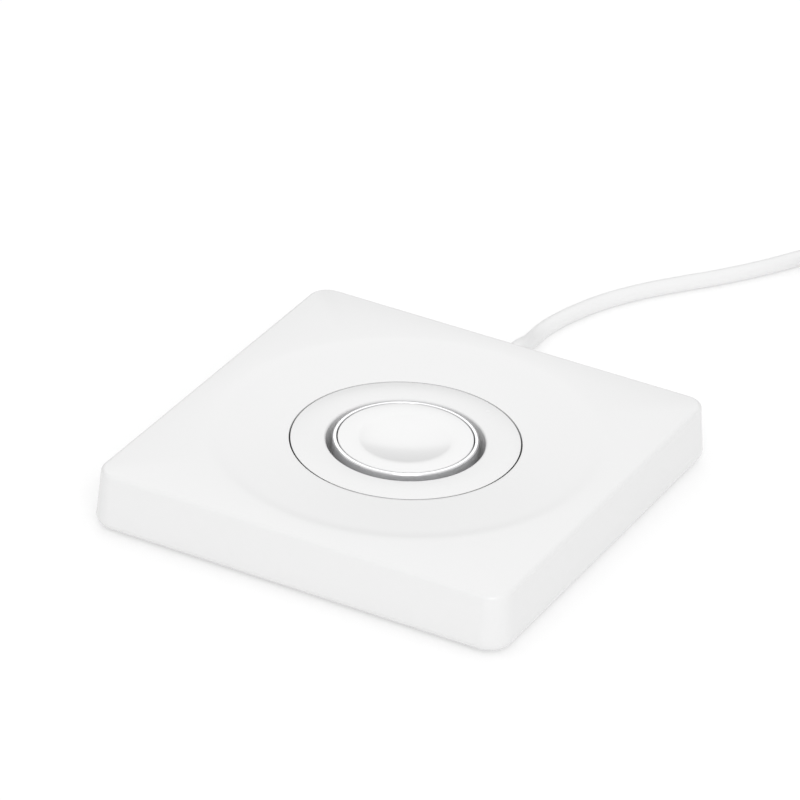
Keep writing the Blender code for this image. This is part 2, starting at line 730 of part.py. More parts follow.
def make_puck():
    """The charging puck: a steel cup, a dished cap, and the charging parts between them."""
    bore_r = PUCK_R - PUCK_SHELL_WALL
    floor = PUCK_Z + PUCK_SHELL_FLOOR
    edge = 0.0003
    shell = turned(
        "puck_shell",
        [
            (0, PUCK_Z),
            (PUCK_R - edge, PUCK_Z),
            (PUCK_R, PUCK_Z + edge),
            (PUCK_R, PUCK_TOP - edge),
            (PUCK_R - edge, PUCK_TOP),
            (bore_r, PUCK_TOP),
            (bore_r, floor),
            (0, floor),
        ],
    )
    pieces = [paint(shell, STEEL, 0.2, 1.0)]

    cap_r = bore_r - CLEAR
    cap_under = PUCK_TOP - CAP_T
    dish_steps = 6
    dish = [
        (
            CAP_DISH_R * i / dish_steps,
            PUCK_TOP - CAP_DISH_DEPTH * (1 + math.cos(math.pi * i / dish_steps)) / 2,
        )
        for i in range(dish_steps + 1)
    ]
    cap = turned("puck_cap", [*dish, (cap_r, PUCK_TOP), (cap_r, cap_under), (0, cap_under)])
    pieces.append(paint(cap, WHITE, 0.3))

    coil_top = cap_under - CLEAR
    coil_low = coil_top - COIL_T
    ferrite_top = coil_low - CLEAR
    ferrite_low = ferrite_top - FERRITE_T
    board_top = ferrite_low - CLEAR
    part_r = cap_r - CLEAR
    hole_r = MAGNET_R + CLEAR
    charge_coil = ring("charge_coil", hole_r, part_r, coil_low, coil_top)
    ferrite = ring("ferrite_shield", hole_r, part_r, ferrite_low, ferrite_top)
    magnet = rod("puck_magnet", MAGNET_R, ferrite_low, coil_top, ROUND_STEPS)
    puck_board = rod("puck_board", part_r, board_top - PUCK_BOARD_T, board_top, ROUND_STEPS)
    pieces.append(paint(charge_coil, COPPER, 0.35, 1.0))
    pieces.append(paint(ferrite, FERRITE, 0.6))
    pieces.append(paint(magnet, STEEL, 0.3, 1.0))
    pieces.append(paint(puck_board, BOARD_GREEN, 0.5))
    return pieces


def hang_on_hinge(pieces):
    """Parents the moving pieces to an empty on the hinge axis."""
    pivot = bpy.data.objects.new("flap_pivot", None)
    pivot.location = (0, AXIS_Y, AXIS_Z)
    bpy.context.scene.collection.objects.link(pivot)
    for piece in pieces:
        piece.parent = pivot
        piece.matrix_parent_inverse = Matrix.Translation((0, -AXIS_Y, -AXIS_Z))


# Cord ----------------------------------------------------------------------------------------


def smooth_points(route, spacing):
    """Points read at even steps along a smooth curve through the route's points."""
    nodes = [Vector(p) for p in route]
    nodes = [2 * nodes[0] - nodes[1], *nodes, 2 * nodes[-1] - nodes[-2]]
    dense = []
    for a, b, c, d in zip(nodes, nodes[1:], nodes[2:], nodes[3:]):
        for i in range(20):
            t = i / 20
            dense.append(
                0.5 * (2 * b + (c - a) * t + (2 * a - 5 * b + 4 * c - d) * t**2
                       + (3 * b - a - 3 * c + d) * t**3)
            )
    dense.append(nodes[-2])
    lengths = [0.0]
    for p, q in zip(dense, dense[1:]):
        lengths.append(lengths[-1] + (q - p).length)
    count = max(2, round(lengths[-1] / spacing))
    points = []
    for k in range(count + 1):
        want = lengths[-1] * k / count
        i = min(max(i for i, s in enumerate(lengths) if s <= want + 1e-12), len(dense) - 2)
        share = (want - lengths[i]) / (lengths[i + 1] - lengths[i])
        points.append(dense[i].lerp(dense[i + 1], share))
    return points


def tube(name, route):
    """A plain stretch of cord along its route, with closed ends."""
    points = smooth_points([Vector(p) + FROM_BACK for p in route], 2 * 2 * CORD_R)
    curve = bpy.data.curves.new(name, "CURVE")
    curve.dimensions = "3D"
    spline = curve.splines.new("POLY")
    spline.points.add(len(points) - 1)
    for target, point in zip(spline.points, points):
        target.co = (*point, 1)
    curve.bevel_depth = CORD_R
    curve.bevel_resolution = 2
    curve.use_fill_caps = True
    obj = bpy.data.objects.new(name, curve)
    bpy.context.scene.collection.objects.link(obj)
    return paint(obj, WHITE, 0.45)


def make_strain_relief():
    """The rubber gland in the back wall, and the short tapered boot outside it."""
    inside = -(WALL + CLEAR)
    flange_t = 0.0012
    lean = math.tan(WALL_DRAFT) * (HEIGHT - TOP_FILLET - EXIT_Z + 2 * RELIEF_FLANGE_R)
    outside = lean + CLEAR
    boot_r = 1.25 * RELIEF_NECK_R
    relief = turned(
        "strain_relief",
        [
            (0, inside - flange_t),
            (RELIEF_FLANGE_R, inside - flange_t),
            (RELIEF_FLANGE_R, inside),
            (RELIEF_NECK_R, inside),
            (RELIEF_NECK_R, outside),
            (boot_r, outside),
            (boot_r, outside + 0.12 * RELIEF_OUT),
            (1.15 * CORD_R, RELIEF_OUT),
            (0, RELIEF_OUT),
        ],
        SMALL_STEPS,
    )
    paint(turn_to_y(relief, (EXIT_X, SIDE / 2, EXIT_Z)), WHITE, 0.55)


def make_coil():
    """The outer shape of the wound cord, and the tie round it."""
    low = COIL_LIFT
    high = COIL_LIFT + 2 * COIL_HALF_H
    bulge = 0.5 * COIL_HALF_H
    inner, outer = COIL_MEAN_R - COIL_HALF_W, COIL_MEAN_R + COIL_HALF_W
    coil = turned(
        "cord_coil",
        [
            (inner, low + bulge),
            (inner + bulge, low),
            (outer - bulge, low),
            (outer, low + bulge),
            (outer, high - bulge),
            (outer - bulge, high),
            (inner + bulge, high),
            (inner, high - bulge),
        ],
        closed=True,
    )
    centre = COIL_CENTRE + FROM_BACK.xy
    paint(at(coil, *centre), WHITE, 0.45)

    def loop(space, along):
        wide, tall = COIL_HALF_W + space, COIL_HALF_H + space
        corner = [(wide, tall - bulge), (wide - bulge, tall)]
        upper = corner + [(-x, z) for x, z in reversed(corner)]
        return [(x, along, z) for x, z in upper + [(-x, -z) for x, z in upper]]

    inside = CLEAR
    outside = CLEAR + TIE_T
    rings = [
        loop(outside, -TIE_W / 2),
        loop(outside, TIE_W / 2),
        loop(inside, TIE_W / 2),
        loop(inside, -TIE_W / 2),
    ]
    tie = loft("cord_tie", rings, loop=True)
    middle = centre + COIL_MEAN_R * Vector((math.cos(TIE_ANGLE), math.sin(TIE_ANGLE)))
    tie.location = (*middle, COIL_LIFT + COIL_HALF_H)
    tie.rotation_euler = (0, 0, TIE_ANGLE)
    paint(tie, SOFT_GREY, 0.6)


def make_plug():
    """The plug: a tapered boot, a rounded body and a metal tip, in line with the cord's end."""
    end = Vector(TAIL_ROUTE[-1]) + FROM_BACK
    heading = (Vector(TAIL_ROUTE[-1]) - Vector(TAIL_ROUTE[-2])).normalized()
    turn = math.atan2(heading.y, heading.x) - math.pi / 2
    start = end + heading * CLEAR

    def along(distance):
        return start + heading * distance

    boot = turned(
        "plug_boot",
        [
            (0, 0),
            (1.15 * CORD_R, 0),
            (PLUG_BOOT_R, 0.8 * PLUG_BOOT_L),
            (PLUG_BOOT_R, PLUG_BOOT_L),
            (0, PLUG_BOOT_L),
        ],
        SMALL_STEPS,
    )
    boot.rotation_euler = (-math.pi / 2, 0, turn)
    boot.location = along(0)
    paint(boot, WHITE, 0.45)

    def stadium(name, half, corner, middle):
        obj = block(name, -half, half)
        modifier = obj.modifiers.new("Edges", "BEVEL")
        modifier.width = corner
        modifier.segments = 3
        obj.location = middle
        obj.rotation_euler = (0, 0, turn)
        return obj

    body_at = PLUG_BOOT_L + CLEAR + PLUG_HALF.y
    body = stadium("plug_body", PLUG_HALF, PLUG_CORNER, along(body_at))
    paint(body, WHITE, 0.4)
    tip_at = body_at + PLUG_HALF.y + CLEAR + PLUG_TIP_HALF.y
    tip = stadium("plug_tip", PLUG_TIP_HALF, 0.9 * PLUG_TIP_HALF.z, along(tip_at))
    paint(tip, STEEL, 0.25, 1.0)


def main():
    clear_scene()
    make_top_housing()
    make_bottom_cover()
    make_foot_pad()
    make_well_tray()
    make_ballast()
    make_board()
    make_hinge_fixed()
    hang_on_hinge(make_hinge_arm() + make_flap() + make_puck())
    make_strain_relief()
    tube("cord_run", RUN_ROUTE)
    make_coil()
    tube("cord_tail", TAIL_ROUTE)
    make_plug()


main()
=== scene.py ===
# %% [markdown]
# # A dished charging pad with a fold-up flap
# The pad is a low white square. Its top is a shallow dish, and in the dish sits a round flap that
# carries a magnetic charging puck. A thin white cord leaves the back. This lesson starts from the
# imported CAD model, which fixes every size and place, and gives each piece its finer shape and its
# finish. Everything is in metres.

import math

import bmesh
import bpy
from mathutils import Matrix, Vector


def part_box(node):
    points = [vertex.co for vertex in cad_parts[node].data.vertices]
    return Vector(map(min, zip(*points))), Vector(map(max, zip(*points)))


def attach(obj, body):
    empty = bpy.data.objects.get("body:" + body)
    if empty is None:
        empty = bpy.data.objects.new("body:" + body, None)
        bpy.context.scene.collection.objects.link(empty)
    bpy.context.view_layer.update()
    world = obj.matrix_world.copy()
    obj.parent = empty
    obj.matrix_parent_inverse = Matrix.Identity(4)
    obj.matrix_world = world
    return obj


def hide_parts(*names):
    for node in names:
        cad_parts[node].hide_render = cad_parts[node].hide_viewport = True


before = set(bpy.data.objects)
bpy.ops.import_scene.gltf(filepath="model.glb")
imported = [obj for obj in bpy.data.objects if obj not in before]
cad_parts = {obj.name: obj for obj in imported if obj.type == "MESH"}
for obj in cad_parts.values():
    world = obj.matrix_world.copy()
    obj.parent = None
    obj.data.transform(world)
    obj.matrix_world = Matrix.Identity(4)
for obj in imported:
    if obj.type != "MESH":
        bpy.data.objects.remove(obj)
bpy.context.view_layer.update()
SIDES = ("left", "right")


def corners_of(node_name):
    """The lower and upper corner of a CAD node's box."""
    low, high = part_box(node_name)
    return Vector(low), Vector(high)


# %% [markdown]
# ## The camera
# A product picture is taken from far away with a long lens, so that the square keeps its
# edges nearly parallel. A camera could be turned by hand, but it is easier to say where it aims,
# from which side and how high, and to build its three axes from that. The roll tips it a little.

# %% Camera
AIM = Vector((-0.0027, 0.0022, 0.0178))
AZIMUTH = math.radians(27.48)
ELEVATION = math.radians(29.85)
ROLL = math.radians(2.52)
DISTANCE = 0.9545
LENS = 231.84

back = Vector((
    math.sin(AZIMUTH) * math.cos(ELEVATION),
    -math.cos(AZIMUTH) * math.cos(ELEVATION),
    math.sin(ELEVATION),
))
right = Vector((math.cos(AZIMUTH), math.sin(AZIMUTH), 0))
up = back.cross(right)
camera_x = math.cos(ROLL) * right + math.sin(ROLL) * up
camera_y = math.cos(ROLL) * up - math.sin(ROLL) * right
camera_data = bpy.data.cameras.new("camera")
camera_data.lens = LENS
camera_data.sensor_width = 36
camera_data.clip_start = 0.01
camera = bpy.data.objects.new("camera", camera_data)
camera.matrix_world = Matrix((camera_x, camera_y, back)).transposed().to_4x4()
camera.location = AIM + DISTANCE * back
bpy.context.scene.collection.objects.link(camera)
bpy.context.scene.camera = camera
print("camera stands at", tuple(round(c, 4) for c in camera.location))

# %% [markdown]
# ## A moulded finish
# Nearly all that shows is moulded: hard satin plastic on the shell, softer rubber on the cord. Up
# close both have a fine even grain from the mould, and over a few centimetres they are never
# quite one shade or one gloss. One noise gives the grain as a tiny bump, and a second, larger one
# moves the colour and the roughness by a few hundredths. Both read Object coordinates, so they
# stay put when a piece moves.

# %% Material helpers
def new_finish(name, roughness, metallic=0.0):
    """An empty material with its node tree and its shader."""
    material = bpy.data.materials.new(name)
    material.use_nodes = True
    tree = material.node_tree
    shader = tree.nodes["Principled BSDF"]
    shader.inputs["Roughness"].default_value = roughness
    shader.inputs["Metallic"].default_value = metallic
    return material, tree, shader


def object_noise(tree, scale, stretch=(1, 1, 1), detail=2.0):
    """A noise on the piece's own coordinates, drawn out along an axis if stretch says so."""
    place = tree.nodes.new("ShaderNodeTexCoord")
    mapping = tree.nodes.new("ShaderNodeMapping")
    mapping.inputs["Scale"].default_value = stretch
    noise = tree.nodes.new("ShaderNodeTexNoise")
    noise.inputs["Scale"].default_value = scale
    noise.inputs["Detail"].default_value = detail
    tree.links.new(place.outputs["Object"], mapping.inputs["Vector"])
    tree.links.new(mapping.outputs["Vector"], noise.inputs["Vector"])
    return noise.outputs["Fac"]


def tint(tree, shader, factor, dark, light):
    """Colours the shader between two shades, as the factor goes from 0.2 to 0.8."""
    ramp = tree.nodes.new("ShaderNodeValToRGB")
    ramp.color_ramp.elements[0].position = 0.2
    ramp.color_ramp.elements[1].position = 0.8
    ramp.color_ramp.elements[0].color = (*dark, 1)
    ramp.color_ramp.elements[1].color = (*light, 1)
    tree.links.new(factor, ramp.inputs["Fac"])
    tree.links.new(ramp.outputs["Color"], shader.inputs["Base Color"])


def vary_gloss(tree, shader, factor, low, high):
    """Moves the roughness between two values with the factor."""
    span = tree.nodes.new("ShaderNodeMapRange")
    span.inputs["From Min"].default_value = 0.2
    span.inputs["From Max"].default_value = 0.8
    span.inputs["To Min"].default_value = low
    span.inputs["To Max"].default_value = high
    tree.links.new(factor, span.inputs["Value"])
    tree.links.new(span.outputs["Result"], shader.inputs["Roughness"])


def emboss(tree, shader, factor, strength, depth):
    """Raises the surface with the factor by a depth in metres."""
    bump = tree.nodes.new("ShaderNodeBump")
    bump.inputs["Strength"].default_value = strength
    bump.inputs["Distance"].default_value = depth
    tree.links.new(factor, bump.inputs["Height"])
    tree.links.new(bump.outputs["Normal"], shader.inputs["Normal"])


# %% Moulded plastic and rubber
def moulded(name, colour, roughness, grain=2600.0, depth=0.000003, shade=0.004):
    """Satin plastic or rubber with a mould's grain."""
    material, tree, shader = new_finish(name, roughness)
    clouds = object_noise(tree, 45.0)
    light = [c * (1 + shade) for c in colour]
    dark = [c * (1 - shade) for c in colour]
    tint(tree, shader, clouds, dark, light)
    vary_gloss(tree, shader, clouds, roughness - 0.03, roughness + 0.03)
    emboss(tree, shader, object_noise(tree, grain), 0.5, depth)
    return material


SHELL_WHITE = moulded("shell_white", (0.795, 0.795, 0.795), 0.25)
INNER_WHITE = moulded("inner_white", (0.76, 0.76, 0.755), 0.55)
CAP_WHITE = moulded("cap_white", (0.825, 0.825, 0.825), 0.18, grain=1800.0, depth=0.000002)
CORD_WHITE = moulded("cord_white", (0.82, 0.82, 0.82), 0.48, grain=3200.0, depth=0.000006)
PLUG_WHITE = moulded("plug_white", (0.80, 0.80, 0.80), 0.38)
SILICONE = moulded("foot_silicone", (0.42, 0.42, 0.43), 0.75, grain=1500.0, depth=0.00001)
print("moulded finishes:", SHELL_WHITE.name, CORD_WHITE.name, SILICONE.name)

# %% [markdown]
# ## The cord
# The cord is one length of soft round lead, 1.2 m of it. It comes straight out of its strain
# relief, sinks to the table, runs off in a lazy bend, and the rest is wound up as the maker ships
# it: two layers of five turns, with the plug beside them. It could be a swept mesh, but a
# curve keeps its own centreline, so its length can be read from it. The free stretches pass
# through listed points, the same ones as the CAD model has. The coil's turns come from a
# loop, because a turn is a circle that steps inward a cord's width each time round, climbs to
# the upper layer at the inside, and steps outward again.

# %% Where the cord runs
BACK_WALL = Vector((0, 0.0421, 0))       # the points' y counts from here
CORD_R = 0.0016
RUN_ROUTE = (
    (-0.0030, 0.0063, 0.0056),
    (-0.0031, 0.0097, 0.0053),
    (-0.0036, 0.0131, 0.0042),
    (-0.0044, 0.0167, 0.0028),
    (-0.0050, 0.0204, 0.0020),
    (-0.0052, 0.0241, 0.00168),
    (-0.0042, 0.0301, 0.00165),
    (-0.0026, 0.0355, 0.00165),
    (-0.0005, 0.0409, 0.00165),
    (0.0039, 0.0488, 0.00165),
    (0.0093, 0.0562, 0.00165),
    (0.0148, 0.0632, 0.00165),
    (0.0199, 0.0706, 0.00165),
    (0.0247, 0.0787, 0.00165),
    (0.0291, 0.0862, 0.00180),
)
TAIL_ROUTE = (
    (0.0784, 0.1030, 0.0046),
    (0.0820, 0.1012, 0.0039),
    (0.0856, 0.0985, 0.0035),
    (0.0886, 0.0950, 0.0033),
    (0.0908, 0.0908, 0.0033),
    (0.0922, 0.0863, 0.0033),
    (0.0931, 0.0818, 0.0033),
)
run_points = [Vector(p) + BACK_WALL for p in RUN_ROUTE]
tail_points = [Vector(p) + BACK_WALL for p in TAIL_ROUTE]
print("the cord leaves at", run_points[0][:], "and ends at", tail_points[-1][:])

# %% The turns of the coil
COIL_LOW, COIL_HIGH = corners_of("cord_coil")
COIL_CENTRE = (COIL_LOW + COIL_HIGH) / 2
PITCH = 0.00325
LAYER_TURNS = 5
COIL_SPARE = 0.00005                     # keeps the outer turn inside the CAD coil
OUTER_R = (COIL_HIGH.x - COIL_LOW.x) / 2 - CORD_R - COIL_SPARE
FIRST_ANGLE = math.radians(150)
LAST_TURN = 9.222
POINTS_A_TURN = 20
FLOOR_Z = 0.00165
TIE_ANGLE = math.radians(-50)
TIE_T = 0.0004
TIE_REACH = 0.42                         # radians over which the cord rises to the strap
STEP_FROM = 0.75                         # the share of a turn after which it steps inward


def ease(share):
    """0 to 1 with a gentle start and end."""
    share = min(max(share, 0.0), 1.0)
    return share * share * (3 - 2 * share)


def coil_place(turn):
    """Radius and height above the lower layer, a number of turns after the cord comes in."""
    ring = int(turn)
    share = turn - ring
    inner_r = OUTER_R - (LAYER_TURNS - 1) * PITCH
    step = PITCH * ease((share - STEP_FROM) / (1 - STEP_FROM))
    if ring < LAYER_TURNS - 1:
        return OUTER_R - ring * PITCH - step, 0.0
    if ring == LAYER_TURNS - 1:
        lift = ease((share - STEP_FROM) / (1 - STEP_FROM)) * math.pi / 2
        beside = inner_r + PITCH - step
        if share < STEP_FROM:
            return inner_r, 0.0
        return beside - PITCH * math.cos(lift), PITCH * math.sin(lift)
    upper = ring - LAYER_TURNS
    out = upper + ease((share - 0.5) / 0.25)
    return min(inner_r + out * PITCH, OUTER_R), PITCH


def tie_lift(angle):
    """How far the coil rises where it lies on the tie's strap."""
    away = math.remainder(angle - TIE_ANGLE, math.tau)
    return 1.15 * TIE_T * math.exp(-((away / TIE_REACH) ** 2))


coil_points = []
for k in range(int(LAST_TURN * POINTS_A_TURN) + 1):
    turn = k / POINTS_A_TURN
    angle = FIRST_ANGLE - math.tau * turn
    radius, height = coil_place(turn)
    coil_points.append(Vector((
        COIL_CENTRE.x + radius * math.cos(angle),
        COIL_CENTRE.y + radius * math.sin(angle),
        FLOOR_Z + height + tie_lift(angle),
    )))
print(f"{len(coil_points)} points in {LAST_TURN} turns, {2000 * OUTER_R:.1f} mm across")

# %% The cord itself
cord_data = bpy.data.curves.new("power_cord", "CURVE")
cord_data.dimensions = "3D"
cord_data.resolution_u = 6
cord_data.bevel_depth = CORD_R
cord_data.bevel_resolution = 5
cord_data.use_fill_caps = True
spline = cord_data.splines.new("BEZIER")
cord_points = run_points + coil_points + tail_points
spline.bezier_points.add(len(cord_points) - 1)
for knot, point in zip(spline.bezier_points, cord_points):
    knot.co = point
    knot.handle_left_type = "AUTO"
    knot.handle_right_type = "AUTO"
power_cord = bpy.data.objects.new("power_cord", cord_data)
bpy.context.scene.collection.objects.link(power_cord)
cord_data.materials.append(CORD_WHITE)
print(f"the cord's curve is {spline.calc_length():.3f} m long")

# %% [markdown]
# ## A lathe made of nodes
# Most of this object is round: the flap, the puck's steel cup, its cap, the well, the boot on
# the cord. Each could be spun in mesh code, but they all follow one rule, so one Geometry Nodes
# tree turns any profile. It lays a grid with one row for each point of the profile, looks that
# point up, and carries it round the axis. Points that meet, at the seam and on the axis, are
# merged, which closes the surface. Steps is the number of facets round the axis.

# %% Helpers for trees
def input_of(tree, name):
    """The identifier of a tree's named input."""
    return next(i.identifier for i in tree.interface.items_tree if i.name == name)


def new_tree(name, inputs):
    """A tree with the named inputs, and its group nodes."""
    tree = bpy.data.node_groups.new(name, "GeometryNodeTree")
    for label, kind in inputs:
        tree.interface.new_socket(label, in_out="INPUT", socket_type=kind)
    tree.interface.new_socket("Made", in_out="OUTPUT", socket_type="NodeSocketGeometry")
    return tree, tree.nodes.new("NodeGroupInput"), tree.nodes.new("NodeGroupOutput")


def node(tree, kind, inputs=(), **settings):
    """A node with its settings, and each input either wired or given a value."""
    made = tree.nodes.new(kind)
    for name, value in settings.items():
        setattr(made, name, value)
    for socket, value in dict(inputs).items():
        if isinstance(value, bpy.types.NodeSocket):
            tree.links.new(value, made.inputs[socket])
        else:
            made.inputs[socket].default_value = value
    return made


def math_node(tree, operation, *values):
    """The result of a Math node."""
    return node(tree, "ShaderNodeMath", dict(enumerate(values)), operation=operation).outputs[0]


def close_tree(tree, made, finish, group_out):
    """Ends a tree in real geometry with its finish on."""
    real = node(tree, "GeometryNodeRealizeInstances", {"Geometry": made})
    painted = node(
        tree, "GeometryNodeSetMaterial", {"Geometry": real.outputs[0], "Material": finish}
    )
    tree.links.new(painted.outputs[0], group_out.inputs["Made"])


# %% The lathe tree
def lathe_tree():
    tree, group, out = new_tree("Lathe", (
        ("Profile", "NodeSocketGeometry"),
        ("Steps", "NodeSocketInt"),
        ("Finish", "NodeSocketMaterial"),
    ))
    size = node(tree, "GeometryNodeAttributeDomainSize", {"Geometry": group.outputs["Profile"]})
    count = size.outputs["Point Count"]
    around = math_node(tree, "ADD", group.outputs["Steps"], 1.0)
    grid = node(tree, "GeometryNodeMeshGrid", {
        "Size X": 1.0,
        "Size Y": 1.0,
        "Vertices X": count,
        "Vertices Y": around,
    })
    place = node(tree, "GeometryNodeInputPosition")
    split = node(tree, "ShaderNodeSeparateXYZ", {0: place.outputs[0]})
    along = math_node(tree, "ADD", split.outputs["X"], 0.5)
    last = math_node(tree, "SUBTRACT", count, 1.0)
    row = math_node(tree, "ROUND", math_node(tree, "MULTIPLY", along, last))
    turn = math_node(tree, "MULTIPLY_ADD", split.outputs["Y"], math.tau, math.pi)
    looked_up = node(
        tree,
        "GeometryNodeSampleIndex",
        {
            "Geometry": group.outputs["Profile"],
            "Value": place.outputs[0],
            "Index": row,
        },
        data_type="FLOAT_VECTOR",
        domain="POINT",
    )
    carried = node(
        tree,
        "ShaderNodeVectorRotate",
        {"Vector": looked_up.outputs[0], "Angle": turn},
        rotation_type="Z_AXIS",
    )
    turned = node(tree, "GeometryNodeSetPosition", {
        "Geometry": grid.outputs["Mesh"],
        "Position": carried.outputs[0],
    })
    closed = node(
        tree, "GeometryNodeMergeByDistance", {"Geometry": turned.outputs[0], "Distance": 2e-7}
    )
    close_tree(tree, closed.outputs[0], group.outputs["Finish"], out)
    return tree


LATHE = lathe_tree()
print("the lathe tree has", len(LATHE.nodes), "nodes")

# %% Run a tree and keep its result
SMOOTH_ANGLE = math.radians(32)


def tidy_mesh(mesh, smooth_angle=SMOOTH_ANGLE):
    """Points every face outwards and keeps only real edges sharp."""
    shape = bmesh.new()
    shape.from_mesh(mesh)
    bmesh.ops.recalc_face_normals(shape, faces=shape.faces)
    shape.to_mesh(mesh)
    shape.free()
    mesh.shade_smooth()
    mesh.set_sharp_from_angle(angle=smooth_angle)


def grow_mesh(name, start, tree, inputs):
    """The plain mesh that a tree makes from a starting mesh."""
    seed = bpy.data.objects.new(name + "_seed", start)
    bpy.context.scene.collection.objects.link(seed)
    modifier = seed.modifiers.new("Tree", "NODES")
    modifier.node_group = tree
    for label, value in inputs.items():
        modifier[input_of(tree, label)] = value
    graph = bpy.context.evaluated_depsgraph_get()
    mesh = bpy.data.meshes.new_from_object(seed.evaluated_get(graph))
    mesh.name = name
    seed.modifiers.remove(modifier)
    bpy.data.objects.remove(seed)
    tidy_mesh(mesh)
    return mesh


def piece_from(name, mesh):
    """An object at the origin that holds the mesh."""
    piece = bpy.data.objects.new(name, mesh)
    bpy.context.scene.collection.objects.link(piece)
    return piece


def turn_piece(name, profile, finish, steps=160):
    """Turns a profile of (radius, height) points on the lathe."""
    start = bpy.data.meshes.new(name + "_profile")
    start.from_pydata([(r, 0, z) for r, z in profile], [], [])
    made = grow_mesh(name, start, LATHE, {"Steps": steps, "Finish": finish})
    print(f"{name}: {len(made.polygons)} faces from {len(profile)} profile points")
    return piece_from(name, made)


# %% Round off a profile
def rounded(corners, steps=5):
    """A profile through corners (radius, height, fillet), with an arc at each fillet."""
    points = []
    for i, (r, z, fillet) in enumerate(corners):
        here = Vector((r, z))
        if not fillet:
            points.append(here)
            continue
        to_before = (Vector(corners[i - 1][:2]) - here).normalized()
        to_after = (Vector(corners[(i + 1) % len(corners)][:2]) - here).normalized()
        half = to_before.angle(to_after) / 2
        middle = here + (to_before + to_after).normalized() * fillet / math.sin(half)
        start = here + to_before * fillet / math.tan(half) - middle
        end = here + to_after * fillet / math.tan(half) - middle
        first = math.atan2(start.y, start.x)
        sweep = math.remainder(math.atan2(end.y, end.x) - first, math.tau)
        for k in range(steps + 1):
            angle = first + sweep * k / steps
            points.append(middle + fillet * Vector((math.cos(angle), math.sin(angle))))
    return points


# %% [markdown]
# ## The shell
# The shell is one moulding, a drafted square box with a round dish in its lid and a round opening
# in the dish. It could be a cube with bevels, but the dish and the square have to melt into one
# surface. A loft does that: rings of points run from the opening, up the dish, over the flat
# lid, round the edge and down the wall. Each ring has its points at the same bearings from the
# middle, whether it is a circle or a rounded square. The dish isn't part of a ball. Its floor rises
# evenly like a very flat cone, gets steeper near the rim, and then eases over into the lid, so
# its height is the sum of a slope that is given for every radius.

# %% Sizes of the shell
SHELL_LOW, SHELL_HIGH = corners_of("top_housing")
TOP = SHELL_HIGH.z
FOOT = SHELL_LOW.z
HALF_TOP = 0.0421
HALF_FOOT = SHELL_HIGH.x
CORNER_R = 0.0040
TOP_FILLET = 0.0008
FOOT_FILLET = 0.0018
WALL = 0.0026
CONE_END_R = 0.0334                      # the even slope ends here
STEEP_R = 0.0357                         # the steepest place
RIM_END_R = 0.0380                       # the lid is flat from here
STEEPER = 1.65
DISH_STEP = 0.00005
FLAP_HIGH = corners_of("flap_plate")[1]
FLAP_R = FLAP_HIGH.x
CLEAR = 0.0003
SEAM = 0.00014                           # the gap that shows round the flap
OPENING_R = FLAP_R + SEAM
LIP_T = 0.0012
LIP_ROUND = 0.00010
CORNER_STEPS = 14
SIDE_STEPS = 30


def dish_slope(radius):
    """How steep the dish is at a radius, next to its even slope."""
    if radius <= CONE_END_R:
        return 1.0
    if radius <= STEEP_R:
        return 1 + (STEEPER - 1) * ease((radius - CONE_END_R) / (STEEP_R - CONE_END_R))
    return STEEPER * (1 - ease((radius - STEEP_R) / (RIM_END_R - STEEP_R)))


def climb(radius):
    """The slope added up from the flap's edge out to a radius."""
    steps = max(1, round((radius - FLAP_R) / DISH_STEP))
    width = (radius - FLAP_R) / steps
    return width * sum(dish_slope(FLAP_R + width * (i + 0.5)) for i in range(steps))


EVEN_SLOPE = (TOP - FLAP_HIGH.z) / climb(RIM_END_R)


def dish_z(radius):
    """Height of the top at a radius."""
    return FLAP_HIGH.z + EVEN_SLOPE * climb(min(radius, RIM_END_R))


DISH_LOW = dish_z(OPENING_R)
DECK_UNDER = DISH_LOW - LIP_T
print(f"shell {2000 * HALF_FOOT:.1f} mm at its foot, {1000 * TOP:.1f} mm high")

# %% Rings of the shell
def arc_points(steps, start, end):
    """Unit-circle points from one angle to another."""
    angles = (start + (end - start) * k / steps for k in range(steps + 1))
    return [(math.cos(a), math.sin(a)) for a in angles]


def square_outline(half, corner):
    """A rounded square, anticlockwise, with its straight sides divided too."""
    middle = half - corner
    turn = arc_points(CORNER_STEPS, 0, math.pi / 2)
    quarter = [(middle + corner * x, middle + corner * y) for x, y in turn]
    lean = math.atan2(half - corner, half)
    for k in range(1, SIDE_STEPS):
        bearing = math.pi / 2 - lean + 2 * lean * k / SIDE_STEPS
        quarter.append((half / math.tan(bearing), half))
    points = []
    for c, s in ((1, 0), (0, 1), (-1, 0), (0, -1)):
        points += [(c * x - s * y, s * x + c * y) for x, y in quarter]
    return points


def square_ring(half, corner, z):
    return [(x, y, z) for x, y in square_outline(half, corner)]


def circle_ring(radius, z):
    """A circle with its points at the rounded square's bearings."""
    points = square_outline(HALF_TOP, CORNER_R)
    return [(radius * x / math.hypot(x, y), radius * y / math.hypot(x, y), z) for x, y in points]


def loft(rings, closed=False):
    """Skins rings with equal point counts. Closed joins the last ring to the first."""
    mesh = bpy.data.meshes.new("loft")
    count = len(rings[0])
    faces = []
    for low in range(len(rings) if closed else len(rings) - 1):
        high = (low + 1) % len(rings)
        for i in range(count):
            j = (i + 1) % count
            faces.append((low * count + i, low * count + j, high * count + j, high * count + i))
    if not closed:
        faces.append(range(count))
        faces.append(range((len(rings) - 1) * count, len(rings) * count))
    mesh.from_pydata([p for ring in rings for p in ring], [], faces)
    tidy_mesh(mesh)
    return mesh


